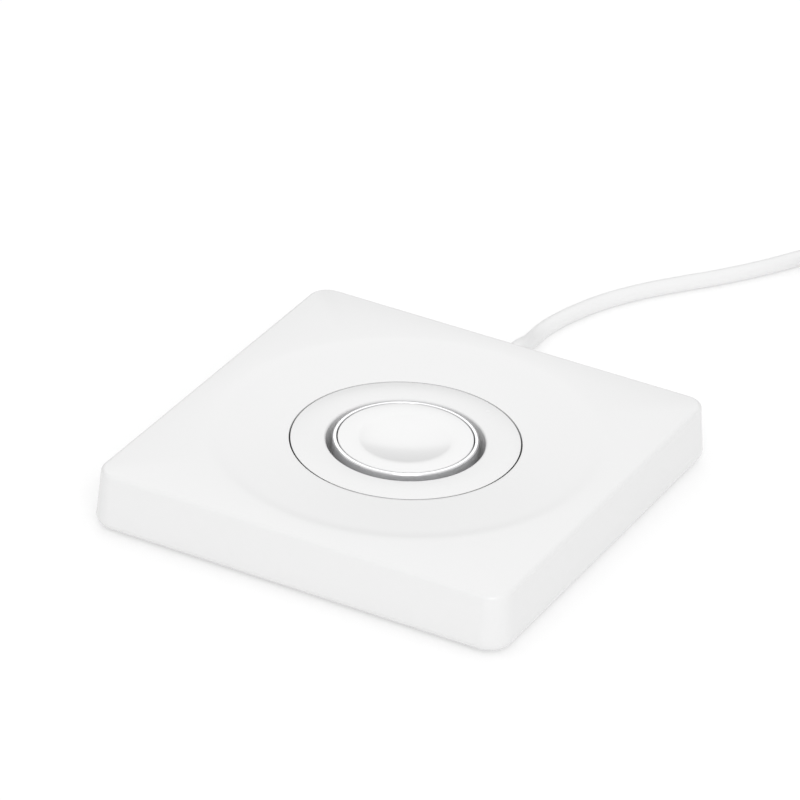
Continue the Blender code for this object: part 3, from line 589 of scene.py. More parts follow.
# %% Loft the shell
def shell_rings():
    rings = []
    for x, y in arc_points(4, math.pi, math.pi / 2):
        rings.append(circle_ring(
            OPENING_R + LIP_ROUND * (1 + x),
            dish_z(OPENING_R + LIP_ROUND) - LIP_ROUND * (1 - y),
        ))
    dish_steps = 30
    for k in range(1, dish_steps + 1):
        radius = OPENING_R + LIP_ROUND + (RIM_END_R - OPENING_R - LIP_ROUND) * k / dish_steps
        rings.append(circle_ring(radius, dish_z(radius)))
    wall_top = TOP - TOP_FILLET
    for x, y in arc_points(8, math.pi / 2, 0):
        inset = TOP_FILLET * (1 - x)
        rings.append(square_ring(HALF_TOP - inset, CORNER_R - inset, wall_top + TOP_FILLET * y))
    wall_foot = FOOT + FOOT_FILLET
    for k in (1, 2, 3):
        share = k / 3
        half = HALF_TOP + (HALF_FOOT - HALF_TOP) * share
        corner = CORNER_R + half - HALF_TOP
        rings.append(square_ring(half, corner, wall_top + (wall_foot - wall_top) * share))
    foot_corner = CORNER_R + HALF_FOOT - HALF_TOP
    for x, y in arc_points(9, 0, -math.pi / 2)[1:]:
        inset = FOOT_FILLET * (1 - x)
        z = wall_foot + FOOT_FILLET * y
        rings.append(square_ring(HALF_FOOT - inset, foot_corner - inset, z))
    inner = HALF_TOP - WALL
    rings.append(square_ring(inner, CORNER_R - WALL / 2, FOOT))
    rings.append(square_ring(inner, CORNER_R - WALL / 2, DECK_UNDER))
    rings.append(circle_ring(OPENING_R + LIP_ROUND, DECK_UNDER))
    rings.append(circle_ring(OPENING_R, DECK_UNDER + LIP_ROUND))
    return rings


shell = piece_from("shell", loft(shell_rings(), closed=True))
shell.data.materials.append(SHELL_WHITE)
print("shell:", len(shell.data.polygons), "faces before its bosses")

# %% Bosses and holes in the shell
BOSS_R = 0.0030
BOSS_LOW = 0.0025
BOSS_HOLE_R = 0.0012
SCREW_LOW, SCREW_HIGH = corners_of("cover_screw_3")
BOSS_AT = (SCREW_LOW.x + SCREW_HIGH.x) / 2
BOSS_SIGNS = ((-1, -1), (-1, 1), (1, -1), (1, 1))
BOSS_PLACES = [Matrix.Translation((x * BOSS_AT, y * BOSS_AT, 0)) for x, y in BOSS_SIGNS]
RELIEF_LOW, RELIEF_HIGH = corners_of("strain_relief")
EXIT_X = (RELIEF_LOW.x + RELIEF_HIGH.x) / 2
EXIT_Z = (RELIEF_LOW.z + RELIEF_HIGH.z) / 2
RELIEF_NECK_R = 0.0020


def rod_into(shape, radius, low, high, matrix, segments=40):
    """Adds a closed round bar along Z, then moves it by the matrix."""
    made = bmesh.ops.create_cone(
        shape,
        cap_ends=True,
        segments=segments,
        radius1=radius,
        radius2=radius,
        depth=high - low,
        matrix=matrix @ Matrix.Translation((0, 0, (low + high) / 2)),
    )
    return made["verts"]


def mesh_of(name, shape):
    """A new mesh that takes over a bmesh's shape."""
    mesh = bpy.data.meshes.new(name)
    shape.to_mesh(mesh)
    shape.free()
    return mesh


def tool_from(name, fill):
    """A mesh object that fill(shape) builds, for a Boolean to use."""
    shape = bmesh.new()
    fill(shape)
    return piece_from(name, mesh_of(name, shape))


def carve(piece, tool, operation):
    """Adds or cuts the tool for good, and removes it."""
    modifier = piece.modifiers.new("Carve", "BOOLEAN")
    modifier.operation = operation
    modifier.solver = "EXACT"
    modifier.object = tool
    graph = bpy.context.evaluated_depsgraph_get()
    mesh = bpy.data.meshes.new_from_object(piece.evaluated_get(graph))
    piece.modifiers.remove(modifier)
    piece.data = mesh
    bpy.data.objects.remove(tool)
    mesh.shade_smooth()
    mesh.set_sharp_from_angle(angle=SMOOTH_ANGLE)


def bosses(shape):
    for place in BOSS_PLACES:
        rod_into(shape, BOSS_R, BOSS_LOW, DECK_UNDER + LIP_T / 3, place)


def shell_holes(shape):
    for place in BOSS_PLACES:
        rod_into(shape, BOSS_HOLE_R, 0, DECK_UNDER - LIP_T, place, 24)
    across = Matrix.Translation((EXIT_X, HALF_TOP, EXIT_Z)) @ Matrix.Rotation(math.pi / 2, 4, "X")
    rod_into(shape, RELIEF_NECK_R + CLEAR, -4 * WALL, 4 * WALL, across, 48)


carve(shell, tool_from("bosses", bosses), "UNION")
carve(shell, tool_from("shell_holes", shell_holes), "DIFFERENCE")
print("shell:", len(shell.data.polygons), "faces with its bosses and holes")

# %% [markdown]
# ## The flap and its back cover
# The flap is a thin round plate with a collar under it that holds the puck. Its top lies in the
# dish, so what shows is only a hairline seam. Light catches that seam because both edges are
# rounded by a tenth of a millimetre. Below its top the edge leans in, so that it clears the
# shell as it swings. A lathe profile with small fillets gives all of that.

# %% Flap
PLATE_LOW, PLATE_HIGH = corners_of("flap_plate")
PLATE_T = 0.0015
PLATE_UNDER = PLATE_HIGH.z - PLATE_T
PLATE_UNDER_R = 0.02012
SHELL_CUP_R = corners_of("puck_shell")[1].x
PUCK_GAP = 0.0012
COLLAR_IN = SHELL_CUP_R + PUCK_GAP
COLLAR_OUT = corners_of("flap_back_cover")[1].x
plate_profile = rounded((
    (COLLAR_IN, PLATE_LOW.z, 0.0),
    (COLLAR_OUT, PLATE_LOW.z, 0.0002),
    (COLLAR_OUT, PLATE_UNDER, 0.0),
    (PLATE_UNDER_R, PLATE_UNDER, 0.0002),
    (FLAP_R, PLATE_HIGH.z, 0.00010),
    (COLLAR_IN, PLATE_HIGH.z, 0.00045),
    (COLLAR_IN, PLATE_LOW.z, 0.0),
))
flap = turn_piece("flap", plate_profile, SHELL_WHITE, steps=192)

BACK_LOW, BACK_HIGH = corners_of("flap_back_cover")
RECESS_R = 0.0118
RECESS_DEEP = 0.0002
back_profile = rounded((
    (0.0, BACK_LOW.z + RECESS_DEEP, 0.0),
    (RECESS_R, BACK_LOW.z + RECESS_DEEP, 0.0),
    (RECESS_R + 0.0003, BACK_LOW.z, 0.0001),
    (BACK_HIGH.x, BACK_LOW.z, 0.0003),
    (BACK_HIGH.x, BACK_HIGH.z, 0.0),
    (0.0, BACK_HIGH.z, 0.0),
))
back_cover = turn_piece("back_cover", back_profile, INNER_WHITE, steps=128)

# %% [markdown]
# ## The puck
# The puck is a steel cup with a white cap let into it. The cup's rim is polished, and a
# hairline of shadow parts it from the cap. The cap is flat near its edge and hollow in the
# middle, so that a watch's round back settles into it. The hollow is part of a ball, like the
# watch's back, and within a millimetre it eases over into the flat.

# %% Polished steel
def polished_steel(name, colour, roughness, streak=(1, 1, 14)):
    """Bright steel, faintly streaked along its drawing direction."""
    material, tree, shader = new_finish(name, roughness, metallic=1.0)
    streaks = object_noise(tree, 260.0, stretch=streak)
    tint(tree, shader, streaks, [0.96 * c for c in colour], colour)
    vary_gloss(tree, shader, streaks, 0.8 * roughness, 1.2 * roughness)
    return material


CUP_STEEL = polished_steel("puck_steel", (0.86, 0.86, 0.87), 0.22)

# %% Cup and cap
CUP_LOW, CUP_HIGH = corners_of("puck_shell")
CAP_LOW, CAP_HIGH = corners_of("puck_cap")
CUP_WALL = 0.00080
CUP_FLOOR = 0.0008
cup_profile = rounded((
    (0.0, CUP_LOW.z, 0.0),
    (CUP_HIGH.x, CUP_LOW.z, 0.0005),
    (CUP_HIGH.x, CUP_HIGH.z, 0.00028),
    (CUP_HIGH.x - CUP_WALL, CUP_HIGH.z, 0.00012),
    (CUP_HIGH.x - CUP_WALL, CUP_LOW.z + CUP_FLOOR, 0.0002),
    (0.0, CUP_LOW.z + CUP_FLOOR, 0.0),
))
cup = turn_piece("puck_cup", cup_profile, CUP_STEEL, steps=192)

CAP_DISH_R = 0.0095
CAP_PROUD = 0.0001                       # the cap fills all but a hairline
CAP_DISH_DEPTH = 0.0010
CAP_EDGE_BLEND = 0.0007                  # from the hollow's slope to the flat
BALL_R = CAP_DISH_R - CAP_EDGE_BLEND
cap_profile = []
for k in range(25):
    dip = CAP_DISH_DEPTH * (1 - 0.92 * (k / 24) ** 2)
    cap_profile.append((BALL_R * k / 24, CAP_HIGH.z - dip))
for k in range(1, 8):
    dip = 0.08 * CAP_DISH_DEPTH * (1 - k / 8) ** 2
    cap_profile.append((BALL_R + 2 * CAP_EDGE_BLEND * k / 8, CAP_HIGH.z - dip))
cap_profile += rounded((
    (BALL_R + 2 * CAP_EDGE_BLEND, CAP_HIGH.z, 0.0),
    (CAP_HIGH.x + CAP_PROUD, CAP_HIGH.z, 0.00012),
    (CAP_HIGH.x + CAP_PROUD, CAP_LOW.z, 0.0),
    (0.0, CAP_LOW.z, 0.0),
))[1:]
cap = turn_piece("puck_top", cap_profile, CAP_WHITE, steps=192)

# %% [markdown]
# ## Finishes for the metal and electronic parts
# Most of the parts inside never show, but each is what it is on the real pad: die-cast zinc for
# the hinge, plated screws, rolled steel bars, a green board. Cast and rolled metal differ in
# their grain. Cast zinc is pebbled evenly, rolled steel has streaks along the bar. All of them
# come from the same few helpers.

# %% Metal and electronic finishes
def grained(name, colour, roughness, metallic, scale, depth, spread=0.04, stretch=(1, 1, 1)):
    """A finish with one grain that moves its shade and raises it a little."""
    material, tree, shader = new_finish(name, roughness, metallic)
    grain = object_noise(tree, scale, stretch=stretch)
    tint(tree, shader, grain, [(1 - spread) * c for c in colour], colour)
    vary_gloss(tree, shader, grain, 0.85 * roughness, 1.15 * roughness)
    emboss(tree, shader, grain, 0.5, depth)
    return material


ZINC = grained("hinge_zinc", (0.50, 0.50, 0.52), 0.42, 1.0, 3000.0, 0.000008)
BRIGHT_STEEL = polished_steel("bright_steel", (0.62, 0.62, 0.63), 0.22, streak=(14, 1, 1))
SCREW_STEEL = polished_steel("screw_steel", (0.60, 0.60, 0.60), 0.30)
ALONG_Y = (6, 0.4, 6)                    # draws the grain out along the bars
BALLAST = grained("ballast_steel", (0.50, 0.50, 0.51), 0.45, 1.0, 500.0, 0.000004, 0.10, ALONG_Y)
BOARD_GREEN = grained("board_green", (0.02, 0.15, 0.06), 0.35, 0.0, 900.0, 0.000003, 0.25)
CHIP_BLACK = grained("chip_black", (0.025, 0.025, 0.027), 0.5, 0.0, 5000.0, 0.000004, 0.2)
FERRITE = grained("ferrite_grey", (0.07, 0.07, 0.075), 0.65, 0.0, 4000.0, 0.00001, 0.3)
TAN = grained("capacitor_tan", (0.50, 0.30, 0.16), 0.45, 0.0, 3500.0, 0.000004, 0.12)
COPPER = grained("coil_copper", (0.78, 0.36, 0.20), 0.30, 1.0, 2400.0, 0.000003, 0.12)
NICKEL = polished_steel("magnet_nickel", (0.66, 0.65, 0.62), 0.25)
PLUG_STEEL = polished_steel("plug_steel", (0.68, 0.68, 0.69), 0.22, streak=(1, 12, 1))
print("finishes so far:", len(bpy.data.materials))

# %% [markdown]
# ## Laying a turned piece over
# The lathe turns everything round Z. A pin lies along X and a boot along the cord, so their
# meshes are moved by a matrix whose third axis is the direction they point. The object itself
# stays at the origin.

# %% Axes for a piece
def facing_along(heading, place):
    """A matrix that takes +Z to the heading and the origin to the place."""
    heading = Vector(heading).normalized()
    lift = Vector((0, 0, 1)) if abs(heading.z) < 0.9 else Vector((0, 1, 0))
    side = lift.cross(heading).normalized()
    axes = Matrix((side, heading.cross(side), heading)).transposed().to_4x4()
    return Matrix.Translation(place) @ axes


def laid(piece, heading, place):
    piece.data.transform(facing_along(heading, place))
    return piece


# %% [markdown]
# ## Where the cord leaves
# A rubber gland sits in the back wall. Inside, its flange stops it from being pulled out. Outside,
# a short tapered boot keeps the cord from kinking, and grooves round the boot let it bend.
# The grooves are real, cut into the lathe profile, because they show against the white wall.

# %% Strain relief
WALL_Y = HALF_TOP
FLANGE_R = RELIEF_HIGH.x - EXIT_X
FLANGE_T = 0.0012
BOOT_FOOT_R = 0.0025
BOOT_START = 0.0013
BOOT_END = RELIEF_HIGH.y - WALL_Y
BOOT_TIP_R = 0.00184
GROOVES = 4
GROOVE_DEPTH = 0.00022
GROOVES_FROM = 0.0021
GROOVES_TO = BOOT_END - 0.0005


def grooved(start, end, start_r, end_r, grooves, depth, steps=8):
    """Points along a taper with round grooves in it."""
    points = []
    for k in range(grooves * steps + 1):
        share = k / (grooves * steps)
        radius = start_r + (end_r - start_r) * share
        dip = depth * (1 - math.cos(math.tau * grooves * share)) / 2
        points.append((radius - dip, start + (end - start) * share))
    return points


relief_profile = rounded((
    (0.0, RELIEF_LOW.y - WALL_Y, 0.0),
    (FLANGE_R, RELIEF_LOW.y - WALL_Y, 0.0003),
    (FLANGE_R, RELIEF_LOW.y - WALL_Y + FLANGE_T, 0.0),
    (RELIEF_NECK_R, RELIEF_LOW.y - WALL_Y + FLANGE_T, 0.0),
    (RELIEF_NECK_R, BOOT_START, 0.0),
    (BOOT_FOOT_R, BOOT_START, 0.00015),
    (BOOT_FOOT_R, GROOVES_FROM, 0.0),
))
relief_profile += grooved(
    GROOVES_FROM, GROOVES_TO, BOOT_FOOT_R, BOOT_TIP_R, GROOVES, GROOVE_DEPTH
)
relief_profile += rounded((
    (BOOT_TIP_R, GROOVES_TO, 0.0),
    (BOOT_TIP_R, BOOT_END, 0.0002),
    (0.0, BOOT_END, 0.0),
))
relief_boot = turn_piece("relief_boot", relief_profile, CORD_WHITE, steps=64)
laid(relief_boot, (0, 1, 0), (EXIT_X, WALL_Y, EXIT_Z))

# %% [markdown]
# ## The tie
# A grey silicone strap holds the coil. It is a flat band with rounded edges that goes once round
# the bundle. The band follows a path in the upright plane through the coil's middle, so it is
# lofted from small cross-sections along that path.

# %% Tie strap
TIE_W = 0.0040
TIE_CORNER = 0.0018
BUNDLE_HALF_W = 0.0082                   # half the width of the wound bundle
BUNDLE_R = (COIL_HIGH.x - COIL_LOW.x) / 2 - BUNDLE_HALF_W
TIE_LOW, TIE_HIGH = corners_of("cord_tie")
tie_wide = BUNDLE_HALF_W + CLEAR + TIE_T / 2
tie_tall = (TIE_HIGH.z - TIE_LOW.z - TIE_T) / 2
tie_z = (TIE_LOW.z + TIE_HIGH.z) / 2


def strap_path():
    """(out, up) round the bundle, clockwise from its upper outer corner."""
    points = []
    for corner, (c, s) in enumerate(((1, 1), (1, -1), (-1, -1), (-1, 1))):
        middle = Vector((c * (tie_wide - TIE_CORNER), s * (tie_tall - TIE_CORNER)))
        first = math.pi / 2 * (1 - corner)
        for x, z in arc_points(8, first, first - math.pi / 2):
            points.append(middle + TIE_CORNER * Vector((x, z)))
    return points


def strap_rings(path, radial, across):
    """A flat oval cross-section at each point of the path."""
    rings = []
    for i, (x, z) in enumerate(path):
        before = Vector(path[i - 1])
        after = Vector(path[(i + 1) % len(path)])
        along = (after - before).normalized()
        out = Vector((-along.y, along.x))
        ring = []
        for k in range(16):
            angle = math.tau * k / 16
            width = math.copysign(abs(math.cos(angle)) ** 0.3, math.cos(angle)) * TIE_W / 2
            thick = math.sin(angle) * TIE_T / 2
            place = COIL_CENTRE + radial * (BUNDLE_R + x + out.x * thick) + across * width
            ring.append((place.x, place.y, tie_z + z + out.y * thick))
        rings.append(ring)
    return rings


tie_radial = Vector((math.cos(TIE_ANGLE), math.sin(TIE_ANGLE), 0))
tie_across = Vector((-tie_radial.y, tie_radial.x, 0))
strap_mesh = loft(strap_rings(strap_path(), tie_radial, tie_across), closed=True)
strap = piece_from("tie_strap", strap_mesh)
strap.data.materials.append(SILICONE)
print("tie strap:", len(strap.data.polygons), "faces")

# %% [markdown]
# ## The plug
# The plug is in three pieces: a ribbed boot, a moulded grip and a drawn steel tip. The tip
# is hollow, with a tongue in its middle that carries rows of contacts. The grip and the tip are
# lofts of rounded rectangles. The contacts are all alike and evenly spaced, so one is made and
# a tree copies it.

# %% Plug sizes
PLUG_HALF = Vector((0.0056, 0.0100, 0.0031))
PLUG_BOOT_L = 0.0070
PLUG_BOOT_R = 0.0027
PLUG_CORNER = 0.0022
PLUG_TIP_HALF = Vector((0.00415, 0.0033, 0.00125))
plug_heading = (tail_points[-1] - tail_points[-2]).normalized()
plug_start = tail_points[-1] + plug_heading * CLEAR
plug_place = facing_along(plug_heading, plug_start)
GRIP_AT = PLUG_BOOT_L + CLEAR + PLUG_HALF.y
TIP_AT = GRIP_AT + PLUG_HALF.y + CLEAR + PLUG_TIP_HALF.y


def slab_ring(half_x, half_z, corner, along, steps=6):
    """A rounded rectangle across the plug, at a distance along it."""
    points = []
    for c, s, first in ((1, 1, 0), (-1, 1, 1), (-1, -1, 2), (1, -1, 3)):
        for k in range(steps + 1):
            angle = math.pi / 2 * (first + k / steps)
            x = c * (half_x - corner) + corner * math.cos(angle)
            points.append((x, s * (half_z - corner) + corner * math.sin(angle), along))
    return points


def slab_loft(name, stations, finish):
    """A loft of rounded rectangles (along, half x, half z, corner), placed on the plug's line."""
    rings = [slab_ring(x, z, corner, along) for along, x, z, corner in stations]
    mesh = loft(rings, closed=False)
    mesh.transform(plug_place)
    mesh.materials.append(finish)
    return piece_from(name, mesh)


# %% Boot and grip
BOOT_NECK_R = 1.15 * CORD_R
BOOT_NECK_L = 0.0004
BOOT_TAPER_L = 0.8 * PLUG_BOOT_L
BOOT_RIBS = 5
boot_profile = rounded((
    (0.0, 0.0, 0.0),
    (BOOT_NECK_R, 0.0, 0.0002),
    (BOOT_NECK_R, BOOT_NECK_L, 0.0),
))
boot_profile += grooved(BOOT_NECK_L, BOOT_TAPER_L, BOOT_NECK_R, PLUG_BOOT_R, BOOT_RIBS, 0.00025)
boot_profile += rounded((
    (PLUG_BOOT_R, BOOT_TAPER_L, 0.0),
    (PLUG_BOOT_R, PLUG_BOOT_L, 0.0002),
    (0.0, PLUG_BOOT_L, 0.0),
))
plug_boot_piece = turn_piece("plug_boot_ribbed", boot_profile, CORD_WHITE, steps=56)
plug_boot_piece.data.transform(plug_place)

GRIP_END = 0.0020
grip_stations = []
for c, s in arc_points(6, 0, math.pi / 2):
    inset = GRIP_END * (1 - s)
    low = GRIP_AT - PLUG_HALF.y + GRIP_END * (1 - c)
    grip_stations.append((low, PLUG_HALF.x - inset, PLUG_HALF.z - inset, PLUG_CORNER - inset))
GRIP_RIBS = 4
RIB_STEPS = 8
RIB_DEPTH = 0.00015
RIB_LENGTH = 0.5 * PLUG_HALF.y
for k in range(GRIP_RIBS * RIB_STEPS + 1):
    share = k / (GRIP_RIBS * RIB_STEPS)
    dip = RIB_DEPTH * (1 - math.cos(math.tau * GRIP_RIBS * share)) / 2
    along = GRIP_AT - RIB_LENGTH + RIB_LENGTH * share
    grip_stations.append((along, PLUG_HALF.x - dip, PLUG_HALF.z, PLUG_CORNER))
for c, s in arc_points(6, math.pi / 2, 0):
    inset = GRIP_END * (1 - s)
    high = GRIP_AT + PLUG_HALF.y - GRIP_END * (1 - c)
    grip_stations.append((high, PLUG_HALF.x - inset, PLUG_HALF.z - inset, PLUG_CORNER - inset))
grip = slab_loft("plug_grip", grip_stations, PLUG_WHITE)

# %% Hollow tip
TIP_LOW = TIP_AT - PLUG_TIP_HALF.y
TIP_HIGH = TIP_AT + PLUG_TIP_HALF.y
TIP_WALL = 0.00025
TIP_CORNER = 0.9 * PLUG_TIP_HALF.z
TIP_DEEP = 0.0050
TIP_EDGE = 0.0001
TIP_SPARE = 0.0002                       # keeps the tip inside the CAD model's box
tip_x, tip_z = PLUG_TIP_HALF.x - TIP_SPARE, PLUG_TIP_HALF.z
bore_x, bore_z, bore_corner = tip_x - TIP_WALL, tip_z - TIP_WALL, TIP_CORNER - TIP_WALL
tip_stations = (
    (TIP_LOW, tip_x, tip_z, TIP_CORNER),
    (TIP_HIGH - TIP_EDGE, tip_x, tip_z, TIP_CORNER),
    (TIP_HIGH, tip_x - TIP_EDGE, tip_z - TIP_EDGE, TIP_CORNER - TIP_EDGE),
    (TIP_HIGH, bore_x, bore_z, bore_corner),
    (TIP_HIGH - TIP_DEEP, bore_x, bore_z, bore_corner),
)
tip = slab_loft("plug_nose", tip_stations, PLUG_STEEL)

# %% Copies tree
def copies_tree():
    """Copies an object onto every point, each turned by a random angle up to Spin."""
    tree, group, out = new_tree("Copies", (
        ("Places", "NodeSocketGeometry"),
        ("Item", "NodeSocketObject"),
        ("Spin", "NodeSocketFloat"),
        ("Seed", "NodeSocketInt"),
        ("Finish", "NodeSocketMaterial"),
    ))
    item = node(tree, "GeometryNodeObjectInfo", {"Object": group.outputs["Item"]})
    item.inputs["As Instance"].default_value = True
    spin = node(
        tree,
        "FunctionNodeRandomValue",
        {"Seed": group.outputs["Seed"], 2: 0.0, 3: group.outputs["Spin"]},
        data_type="FLOAT",
    )
    turned = node(tree, "ShaderNodeCombineXYZ", {"Z": spin.outputs[1]})
    placed = node(tree, "GeometryNodeInstanceOnPoints", {
        "Points": group.outputs["Places"],
        "Instance": item.outputs["Geometry"],
        "Rotation": turned.outputs[0],
    })
    close_tree(tree, placed.outputs[0], group.outputs["Finish"], out)
    return tree


COPIES = copies_tree()


def copied(name, item, places, finish, spin=0.0, seed=1):
    """One piece of many copies of the item, which is used up."""
    start = bpy.data.meshes.new(name + "_places")
    start.from_pydata([tuple(p) for p in places], [], [])
    values = {"Item": item, "Spin": spin, "Seed": seed, "Finish": finish}
    mesh = grow_mesh(name, start, COPIES, values)
    bpy.data.objects.remove(item)
    print(f"{name}: {len(places)} copies, {len(mesh.polygons)} faces")
    return piece_from(name, mesh)


# %% Blocks with rounded edges
def block(shape, low, high):
    """Adds a box between two corners."""
    size = Vector(high) - Vector(low)
    matrix = Matrix.Translation((Vector(low) + Vector(high)) / 2) @ Matrix.Diagonal((*size, 1))
    return bmesh.ops.create_cube(shape, size=1, matrix=matrix)["verts"]


def rounded_block(name, low, high, bevel, segments=3):
    """A box object with rounded edges."""
    shape = bmesh.new()
    block(shape, low, high)
    bmesh.ops.bevel(
        shape, geom=shape.edges[:], offset=bevel, segments=segments, affect="EDGES", profile=0.5
    )
    mesh = mesh_of(name, shape)
    tidy_mesh(mesh)
    return piece_from(name, mesh)


# %% Tongue and contacts
TONGUE_X = 0.0031
TONGUE_Z = 0.00033
TONGUE_ROOT = TIP_HIGH - TIP_DEEP - 0.0001
TONGUE_END = TIP_HIGH - 0.0008
CONTACT_START = TIP_HIGH - 0.0048
CONTACT_L = 0.0034
CONTACT_HALF_W = 0.00013
CONTACT_SUNK = 0.000015                  # sets the contacts into the tongue
CONTACT_PITCH = 0.0005
CONTACTS = 12
tongue = rounded_block(
    "plug_tongue", (-TONGUE_X, -TONGUE_Z, TONGUE_ROOT), (TONGUE_X, TONGUE_Z, TONGUE_END), 0.0001
)
tongue.data.transform(plug_place)
tongue.data.materials.append(CHIP_BLACK)
contact = rounded_block(
    "contact", (-CONTACT_HALF_W, -0.00002, 0), (CONTACT_HALF_W, 0.00005, CONTACT_L), 0.00002, 1
)
contact_places = []
for row in (-1, 1):
    for k in range(CONTACTS):
        x = (k - (CONTACTS - 1) / 2) * CONTACT_PITCH
        contact_places.append((x, row * TONGUE_Z - CONTACT_SUNK, CONTACT_START))
contacts = copied("plug_contacts", contact, contact_places, BRIGHT_STEEL)
contacts.data.transform(plug_place)

# %% [markdown]
# ## Screws
# Each screw has a rolled thread, a low head with a bevelled rim and a six-lobed recess. The
# whole screw is one loft: rings run up the shank, where the radius follows the thread's helix,
# over the head and down into the recess, where the ring takes the shape of six lobes. Every screw
# ends its last turn somewhere else, so the copies are spun at random.

# %% One screw
SCREW_STEPS = 24
THREAD_PITCH = 0.0004
RINGS_A_TURN = 6
LOBES = 6


def screw_item(name, shank_r, head_r, head_h, length, head_up, lobe_share=0.5):
    """A screw that points down from z = 0, where its head sits, or up if head_up is False."""
    depth = 0.16 * shank_r
    shank_rings = max(4, round(length / THREAD_PITCH * RINGS_A_TURN))
    rings = []
    for k in range(shank_rings + 1):
        z = -length + length * k / shank_rings
        taper = min(1.0, 0.75 + 0.25 * k / 8)
        ring = []
        for j in range(SCREW_STEPS):
            angle = math.tau * j / SCREW_STEPS
            phase = (z / THREAD_PITCH - angle / math.tau) % 1
            radius = taper * (shank_r - depth * abs(2 * phase - 1))
            ring.append((radius * math.cos(angle), radius * math.sin(angle), z))
        rings.append(ring)
    bevel = 0.3 * head_h
    lobe = lobe_share * head_r
    stations = (
        (head_r - 0.2 * bevel, 0.0, 0.0),
        (head_r, 0.2 * bevel, 0.0),
        (head_r, head_h - bevel, 0.0),
        (head_r - bevel, head_h, 0.0),
        (lobe * 1.08, head_h, 0.14),
        (lobe, head_h - 0.06 * head_h, 0.16),
        (0.94 * lobe, 0.45 * head_h, 0.16),
    )
    for radius, z, wave in stations:
        ring = []
        for j in range(SCREW_STEPS):
            angle = math.tau * j / SCREW_STEPS
            out = radius * (1 - wave + wave * math.cos(LOBES * angle))
            ring.append((out * math.cos(angle), out * math.sin(angle), z))
        rings.append(ring)
    mesh = loft(rings, closed=False)
    if not head_up:
        mesh.transform(Matrix.Rotation(math.pi, 4, "X"))
    return piece_from(name, mesh)


def screw_set(name, nodes, shank_r, head_r, head_h, head_up, seed):
    """Copies one screw to where the CAD model has these screws."""
    low, high = corners_of(nodes[0])
    length = high.z - low.z - head_h
    seat = high.z - head_h if head_up else low.z + head_h
    places = []
    for screw_node in nodes:
        a, b = corners_of(screw_node)
        places.append(((a.x + b.x) / 2, (a.y + b.y) / 2, seat))
    item = screw_item(name + "_item", shank_r, head_r, head_h, length, head_up)
    return copied(name, item, places, SCREW_STEEL, spin=math.tau, seed=seed)


COVER_SCREWS = [f"cover_screw_{k}" for k in (1, 2, 3, 4)]
cover_screws = screw_set("cover_screws", COVER_SCREWS, 0.0009, 0.0018, 0.0007, False, 3)
EAR_SCREWS = ["ear_screw_left", "ear_screw_right"]
ear_screws = screw_set("ear_screws", EAR_SCREWS, 0.0007, 0.0014, 0.0006, True, 5)
BOARD_SCREWS = ["board_screw_left", "board_screw_right"]
board_screws = screw_set("board_screws", BOARD_SCREWS, 0.0006, 0.0012, 0.0006, True, 7)
ARM_SCREWS = ["arm_screw_left", "arm_screw_right"]
arm_screws = screw_set("arm_screws", ARM_SCREWS, 0.0006, 0.0010, 0.0006, False, 9)

# %% [markdown]
# ## Underneath
# A grey silicone pad covers most of the underside and keeps the pad from sliding. Real ones have
# a field of low dots. Hundreds of equal dots in rows are a job for copies, and each dot needs
# only a few faces. The pad is stuck on last and hides the four screws.

# %% Foot pad
FOOT_HIGH = corners_of("foot_pad")[1]
DOT_H = 0.00012
DOT_R = 0.0006
DOT_PITCH = 0.0024
foot_rings = []
for inset, z in ((0.0004, DOT_H), (0.0002, DOT_H + 0.00003), (0.0, DOT_H + 0.0002)):
    foot_rings.append(square_ring(FOOT_HIGH.x - inset, CORNER_R - inset, z))
foot_rings.append(square_ring(FOOT_HIGH.x, CORNER_R, FOOT_HIGH.z))
foot_pad = piece_from("foot_mat", loft(foot_rings, closed=False))
foot_pad.data.materials.append(SILICONE)

dot_shape = bmesh.new()
bmesh.ops.create_cone(
    dot_shape,
    cap_ends=True,
    segments=10,
    radius1=0.7 * DOT_R,
    radius2=DOT_R,
    depth=1.5 * DOT_H,
    matrix=Matrix.Translation((0, 0, 0.75 * DOT_H)),
)
DOTS_INSET = 0.0025
last_dot = int((FOOT_HIGH.x - DOTS_INSET) / DOT_PITCH)
dot_places = []
for i in range(-last_dot, last_dot + 1):
    for j in range(-last_dot, last_dot + 1):
        at_corner = abs(i) == abs(j) == last_dot
        if not at_corner:
            dot_places.append((i * DOT_PITCH, j * DOT_PITCH, 0))
dot = piece_from("dot", mesh_of("dot", dot_shape))
foot_dots = copied("foot_dots", dot, dot_places, SILICONE)

# %% [markdown]
# ## The well and the hinge
# Under the flap is a well with a thin floor. A slot in it lets the hinge arm through. The hinge
# stands on two cast ears, and its arm bends round the deck's edge like a goose's neck.

# %% Copies of CAD pieces with rounded edges
SHARP_EDGE = 0.6                         # radians between the faces of an edge to round


def softened(node_name, name, bevel, finish, segments=2):
    """A copy of a CAD node's mesh with its sharp edges rounded."""
    shape = bmesh.new()
    shape.from_mesh(bpy.data.objects[node_name].data)
    bmesh.ops.transform(shape, matrix=bpy.data.objects[node_name].matrix_world, verts=shape.verts)
    bmesh.ops.remove_doubles(shape, verts=shape.verts, dist=2e-7)
    bmesh.ops.dissolve_limit(
        shape, angle_limit=math.radians(1), verts=shape.verts, edges=shape.edges
    )
    sharp = [e for e in shape.edges if len(e.link_faces) == 2 and e.calc_face_angle() > SHARP_EDGE]
    bmesh.ops.bevel(
        shape,
        geom=sharp,
        offset=bevel,
        segments=segments,
        affect="EDGES",
        profile=0.5,
        clamp_overlap=True,
    )
    mesh = mesh_of(name, shape)
    tidy_mesh(mesh)
    mesh.materials.clear()
    mesh.materials.append(finish)
    return piece_from(name, mesh)


